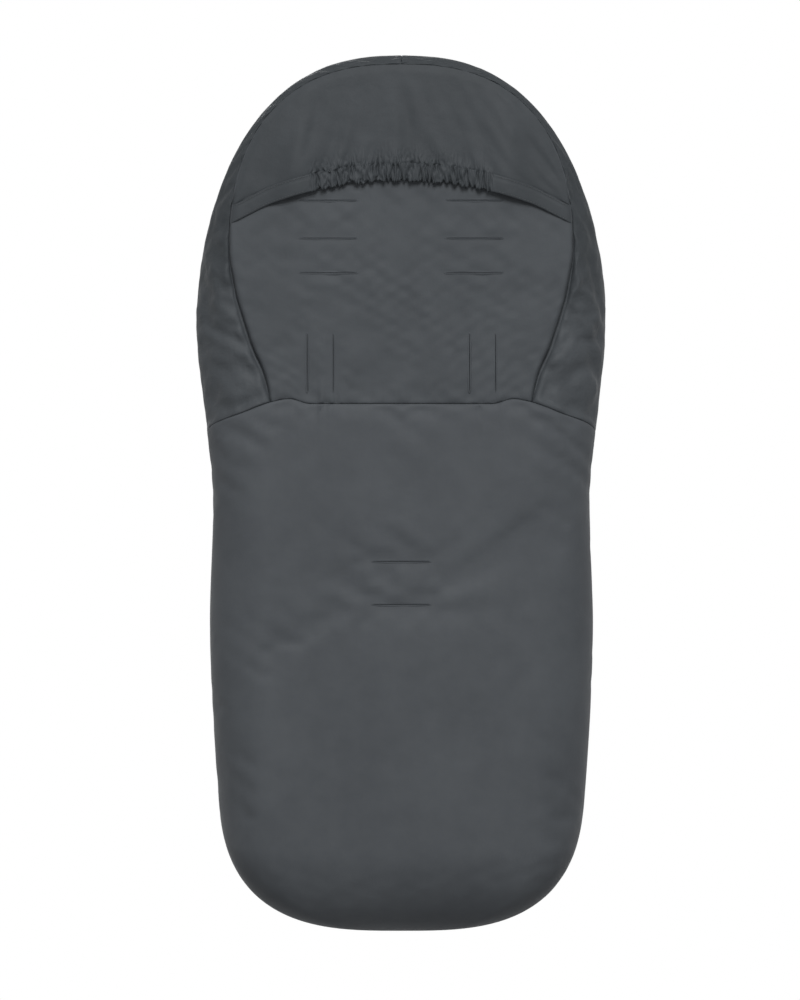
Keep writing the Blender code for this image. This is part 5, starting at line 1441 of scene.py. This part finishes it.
def zip_frame(side):
    """Directions of a zip: up its line, across it towards the cover, and out of the cloth."""
    foot = np.array([side * ZIP_FOOT_HALF_WIDTH, ZIP_FOOT_DEPTH, HINGE_HEIGHT])
    head = np.array([side * ZIP_CHEST_HALF_WIDTH, ZIP_CHEST_DEPTH, CHEST_HEIGHT])
    up = unit(head - foot)
    level = np.array([-side * math.cos(ZIP_LEAN), math.sin(ZIP_LEAN), 0])
    return up, level, unit(np.cross(level, up)) * side


def beside_zip(side, across, height, rise):
    """Points beside a zip: the line at a height, plus across towards the cover, plus rise out of the
    cloth."""
    across, height, rise = np.broadcast_arrays(across, height, rise)
    out_x, depth = zip_line(height)
    level, out = zip_frame(side)[1:]
    line = np.stack([side * out_x, depth, height - HANG_HEIGHT], axis=-1)
    return line + level * across[..., None] + out * rise[..., None]


def zip_tape(part, word, side, way, top, blend=None):
    """A woven tape: a flat strip with a raised cord beside the teeth."""
    across = way * TAPE_ACROSS[None, :]
    heights = np.linspace(COIL_FOOT, top, int((top - COIL_FOOT) / (2.5 * MM)))[:, None]
    front = beside_zip(side, across, heights, -TAPE_DEPTH + TAPE_CORD[None, :])
    back = beside_zip(side, across, heights, -TAPE_DEPTH - TAPE_THICKNESS)
    if side * way > 0:
        front, back = front[:, ::-1], back[:, ::-1]
    piece = padded_wall(f"{part}_zip_tape_{word}", front, back, (TAPE_CLOTH,))
    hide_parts(f"zip_tape_{part}_{word}")
    carry(piece, blend)


def zip_teeth(part, word, side, way, top, blend=None):
    """A row of coil teeth: one rounded loop of 24 points, wide at its tip, repeated up the zip at an even
    pitch. The cover's row is half a pitch higher, so that the two lock together."""
    angles = round_turn(6)
    count = int((top - COIL_FOOT) / TOOTH_PITCH) - 1
    heights = COIL_FOOT + (np.arange(count) + (0.5 if way < 0 else 1.0)) * TOOTH_PITCH
    high = heights[:, None, None] + TOOTH_WIDE[:, None] * np.cos(angles)
    rise = TOOTH_LIFT + TOOTH_TALL[:, None] * np.sin(angles)
    points = beside_zip(side, way * TOOTH_ACROSS[:, None], high, rise).reshape(-1, 3)
    i = np.arange(6)
    j = (i + 1) % 6
    faces = [np.stack([k * 6 + i, k * 6 + j, k * 6 + 6 + j, k * 6 + 6 + i], -1) for k in range(3)]
    first = (np.arange(count) * 24)[:, None, None]
    quads = (np.concatenate(faces)[None] + first).reshape(-1, 4).tolist()
    caps = (np.stack([i, 18 + i])[None] + first).reshape(-1, 6).tolist()
    name = f"{part}_zip_teeth_{word}"
    piece = new_piece(name, points, quads + caps, np.zeros((len(points), 2)), (COIL,))
    turn_outwards(piece.data)
    piece.data.set_sharp_from_angle(angle=math.radians(50))
    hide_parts(f"zip_coil_{part}_{word}")
    carry(piece, blend)


for word, side in SIDES:
    zip_tape("bag", word, side, -1, TAPE_TOP)
    zip_tape("apron", word, side, 1, COIL_TOP, APRON_BLEND)
    zip_teeth("bag", word, side, -1, BAG_COIL_TOP)
    zip_teeth("apron", word, side, 1, COIL_TOP, APRON_BLEND)
    for node in (f"slider_{word}", f"puller_{word}", f"zip_stop_{word}"):
        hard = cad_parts[node]
        hard.data.materials.clear()
        hard.data.materials.append(METAL)
    for part, way, foot, top, blend in (
        ("bag", -1, COIL_FOOT, TAPE_TOP, None),
        ("apron", 1, HINGE_HEIGHT + 0.004, CHEST_HEIGHT - 0.003, APRON_BLEND),
    ):
        path = beside_zip(side, way * STITCH_FROM_ZIP, np.linspace(foot, top, 200), 0.15 * MM)
        stitches(f"zip_stitches_{part}_{word}", path, np.broadcast_to(zip_frame(side)[2], path.shape), blend)

# Apron
# The padded cover over the legs, polyester over fleece, zipped to the bag up both sides. It hangs from the
# foot end, where the real cover folds down forwards; here it is built zipped shut.

COVER_TUCK = 3.0 * MM
COVER_TUCK_REACH = 5 * MM
COVER_GATHER = 0.6 * MM
COVER_GATHER_LENGTH = 11 * MM
COVER_GATHER_FADE = 9 * MM
CHANNEL = ZIP_FLAT + 1.5 * MM
CHANNEL_DEPTH = 1.5 * MM
CHANNEL_WIDTH = 2.2 * MM


def front_cover(name, from_zip_line, steps, s, seed, blend):
    """A front piece: settled between its edges, drawn in at its seam lines and closed all round. Its columns
    start at a distance from the zip and go round to the same distance from the other zip; its foot and top
    are level."""
    half = stepped(station_from_zip(-from_zip_line), (4, steps), (5, 33))
    v = np.concatenate([half, -half[-2::-1]])
    base = face(v[None, :], s[:, None], level=True)
    normals = facing_out(base)
    normals[[0, -1], :, 2] = 0
    normals = unit(normals)
    along, up = arc_lengths(base)
    down = up[-1:] - up
    index = np.arange(len(v), dtype=float)
    coarse_v = np.linspace(0, len(v) - 1, 48)
    coarse_s = np.linspace(s[0], s[-1], max(12, int((s[-1] - s[0]) / (8 * MM))))
    stations = np.interp(coarse_v, index, np.abs(v))
    stations = np.where(coarse_v <= (len(v) - 1) / 2, stations, -stations)
    moved = settle(stations, coarse_s, slack=0.014, push=0.2, cap=4 * MM, seed=seed, level=True)
    full = wall_thickness(v[None, :], s[:, None], WADDING_EDGE)
    drawn = tuck(up, COVER_TUCK, COVER_TUCK_REACH) + tuck(down, COVER_TUCK, COVER_TUCK_REACH)
    small = COVER_GATHER * ripple(base[..., 0], seed + 4, COVER_GATHER_LENGTH)
    fade = np.exp(-up / COVER_GATHER_FADE) + np.exp(-down / COVER_GATHER_FADE)
    drawn = drawn + small * fade * ease(np.minimum(up, down) / (2 * MM))
    beside = np.minimum(along, along[:, -1:] - along)
    drawn = drawn + CHANNEL_DEPTH * bell((beside - CHANNEL) / CHANNEL_WIDTH)
    moved = settled(moved, coarse_v, coarse_s, index, s) - normals * drawn[..., None]
    outer = base + above_lining(moved, normals, full)
    piece = padded_wall(name, outer, base - normals * full[..., None], (SLATE, FLEECE))
    carry(piece, blend)
    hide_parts(f"{name}_shell", f"{name}_wadding", f"{name}_lining")


apron_s = spaced(HINGE_HEIGHT + GAP, CHEST_HEIGHT - GAP / 2, spacing=4.5 * MM)
front_cover("apron", SHELL_EDGE, 10, apron_s, 101, APRON_BLEND)

# Chest collar
# The upper edge of the cover, a padded flap which on the real muff folds down outwards over the apron and
# shows its fleece; here it is built standing up above the chest.

COLLAR_HEIGHT = 0.080
COLLAR_EDGE = 0.012
COLLAR_FOLD = CHEST_HEIGHT - HANG_HEIGHT
COLLAR_BLEND = (("apron", "collar"), dict(start=(0, 0, COLLAR_FOLD), end=(0, 0, COLLAR_FOLD + 0.024)))
collar_s = spaced(CHEST_HEIGHT + GAP / 2, CHEST_HEIGHT + COLLAR_HEIGHT, spacing=3 * MM)
front_cover("collar", COLLAR_EDGE, 6, collar_s, 113, COLLAR_BLEND)

# Studio
# The muff is photographed upright and face-on from behind, against white, in broad soft light from above the
# camera. The floor is far enough below for the cover to fold right down.

WHITE = (1.0, 1.0, 1.0, 1.0)
FLOOR_HEIGHT = -HANG_HEIGHT - 0.60
FLOOR_RADIUS = 2.2
FILL_LIGHT = 0.20
GREY_RADIUS = 0.6
LEAST_WHITE = 0.6


def seen_directly(tree):
    """1 for rays from the camera, in a mirror or through glass."""
    path = tree.nodes.new("ShaderNodeLightPath").outputs
    mirror_or_glass = maths(tree, "MAXIMUM", path["Is Glossy Ray"], path["Is Transmission Ray"])
    return maths(tree, "MAXIMUM", path["Is Camera Ray"], mirror_or_glass)


def mix_shaders(tree, share, first, second, output):
    """Mixes two shaders by a share and links the result to a tree's output."""
    mix = tree.nodes.new("ShaderNodeMixShader")
    for socket, value in zip(mix.inputs, (share, first.outputs[0], second.outputs[0])):
        tree.links.new(value, socket)
    tree.links.new(mix.outputs[0], tree.nodes[output].inputs["Surface"])


world = bpy.data.worlds.new("studio_white")
bpy.context.scene.world = world
world.use_nodes = True
tree = world.node_tree
background = tree.nodes["Background"]
set_values(background, {"Color": WHITE, "Strength": FILL_LIGHT})
plain_white = tree.nodes.new("ShaderNodeBackground")
set_values(plain_white, {"Color": WHITE})
mix_shaders(tree, seen_directly(tree), background, plain_white, "World Output")

angles = np.linspace(0, 2 * math.pi, 97)[:-1]
radii = np.linspace(0.02, FLOOR_RADIUS, 30)[:, None]
rings = np.stack([radii * np.cos(angles), radii * np.sin(angles), 0 * radii * angles + FLOOR_HEIGHT], -1)
index = np.arange(radii.size * angles.size).reshape(-1, angles.size)
after = np.roll(index, -1, axis=1)
quads = np.stack([index[:-1], index[1:], after[1:], after[:-1]], -1).reshape(-1, 4).tolist()
floor = new_piece("floor", rings.reshape(-1, 3), quads + [index[0].tolist()], None, ())
floor_material, tree, shader, place = start_material("pale_floor")
set_values(shader, {"Base Color": (0.26, 0.26, 0.26, 1), "Roughness": 0.9})
distance = tree.nodes.new("ShaderNodeVectorMath")
distance.operation = "LENGTH"
flat = tree.nodes.new("ShaderNodeVectorMath")
flat.operation = "MULTIPLY"
flat.inputs[1].default_value = (1, 1, 0)
tree.links.new(place, flat.inputs[0])
tree.links.new(flat.outputs[0], distance.inputs[0])
past_grey = maths(tree, "SUBTRACT", distance.outputs["Value"], GREY_RADIUS)
to_white = maths(tree, "SMOOTH_MIN", maths(tree, "DIVIDE", past_grey, FLOOR_RADIUS - 0.8), 1.0, 0.2)
light = tree.nodes.new("ShaderNodeEmission")
set_values(light, {"Color": WHITE})
white_share = maths(tree, "MULTIPLY", maths(tree, "MAXIMUM", to_white, LEAST_WHITE), seen_directly(tree))
mix_shaders(tree, white_share, shader, light, "Material Output")
floor.data.materials.append(floor_material)


def soft_light(name, place, aim, size, watts):
    """A square soft light at a place, turned to what it lights."""
    lamp = bpy.data.lights.new(name, "AREA")
    lamp.size = size
    lamp.energy = watts
    holder = add_object(name, lamp)
    holder.location = place
    holder.rotation_euler = (Vector(aim) - Vector(place)).to_track_quat("-Z", "Y").to_euler()


MIDDLE = (0, 0.05, -0.45)
soft_light("key_behind", (0.3, -4.9, 2.8), MIDDLE, 2.0, 190)
soft_light("key_front", (-0.9, 3.1, 1.5), MIDDLE, 1.8, 70)

CAMERA_DISTANCE = 15.0
CAMERA_ACROSS = -0.0014
CAMERA_HEIGHT = -0.4712
FRAME_HEIGHT = 1.0932
SENSOR_WIDTH = 36
camera = add_object("camera", bpy.data.cameras.new("camera"))
camera.location = (CAMERA_ACROSS, -CAMERA_DISTANCE, CAMERA_HEIGHT)
camera.rotation_euler = (math.pi / 2, 0, 0)
camera.data.lens = SENSOR_WIDTH * CAMERA_DISTANCE / FRAME_HEIGHT
camera.data.clip_end = 60
bpy.context.scene.camera = camera
bpy.context.scene.view_settings.view_transform = "Standard"
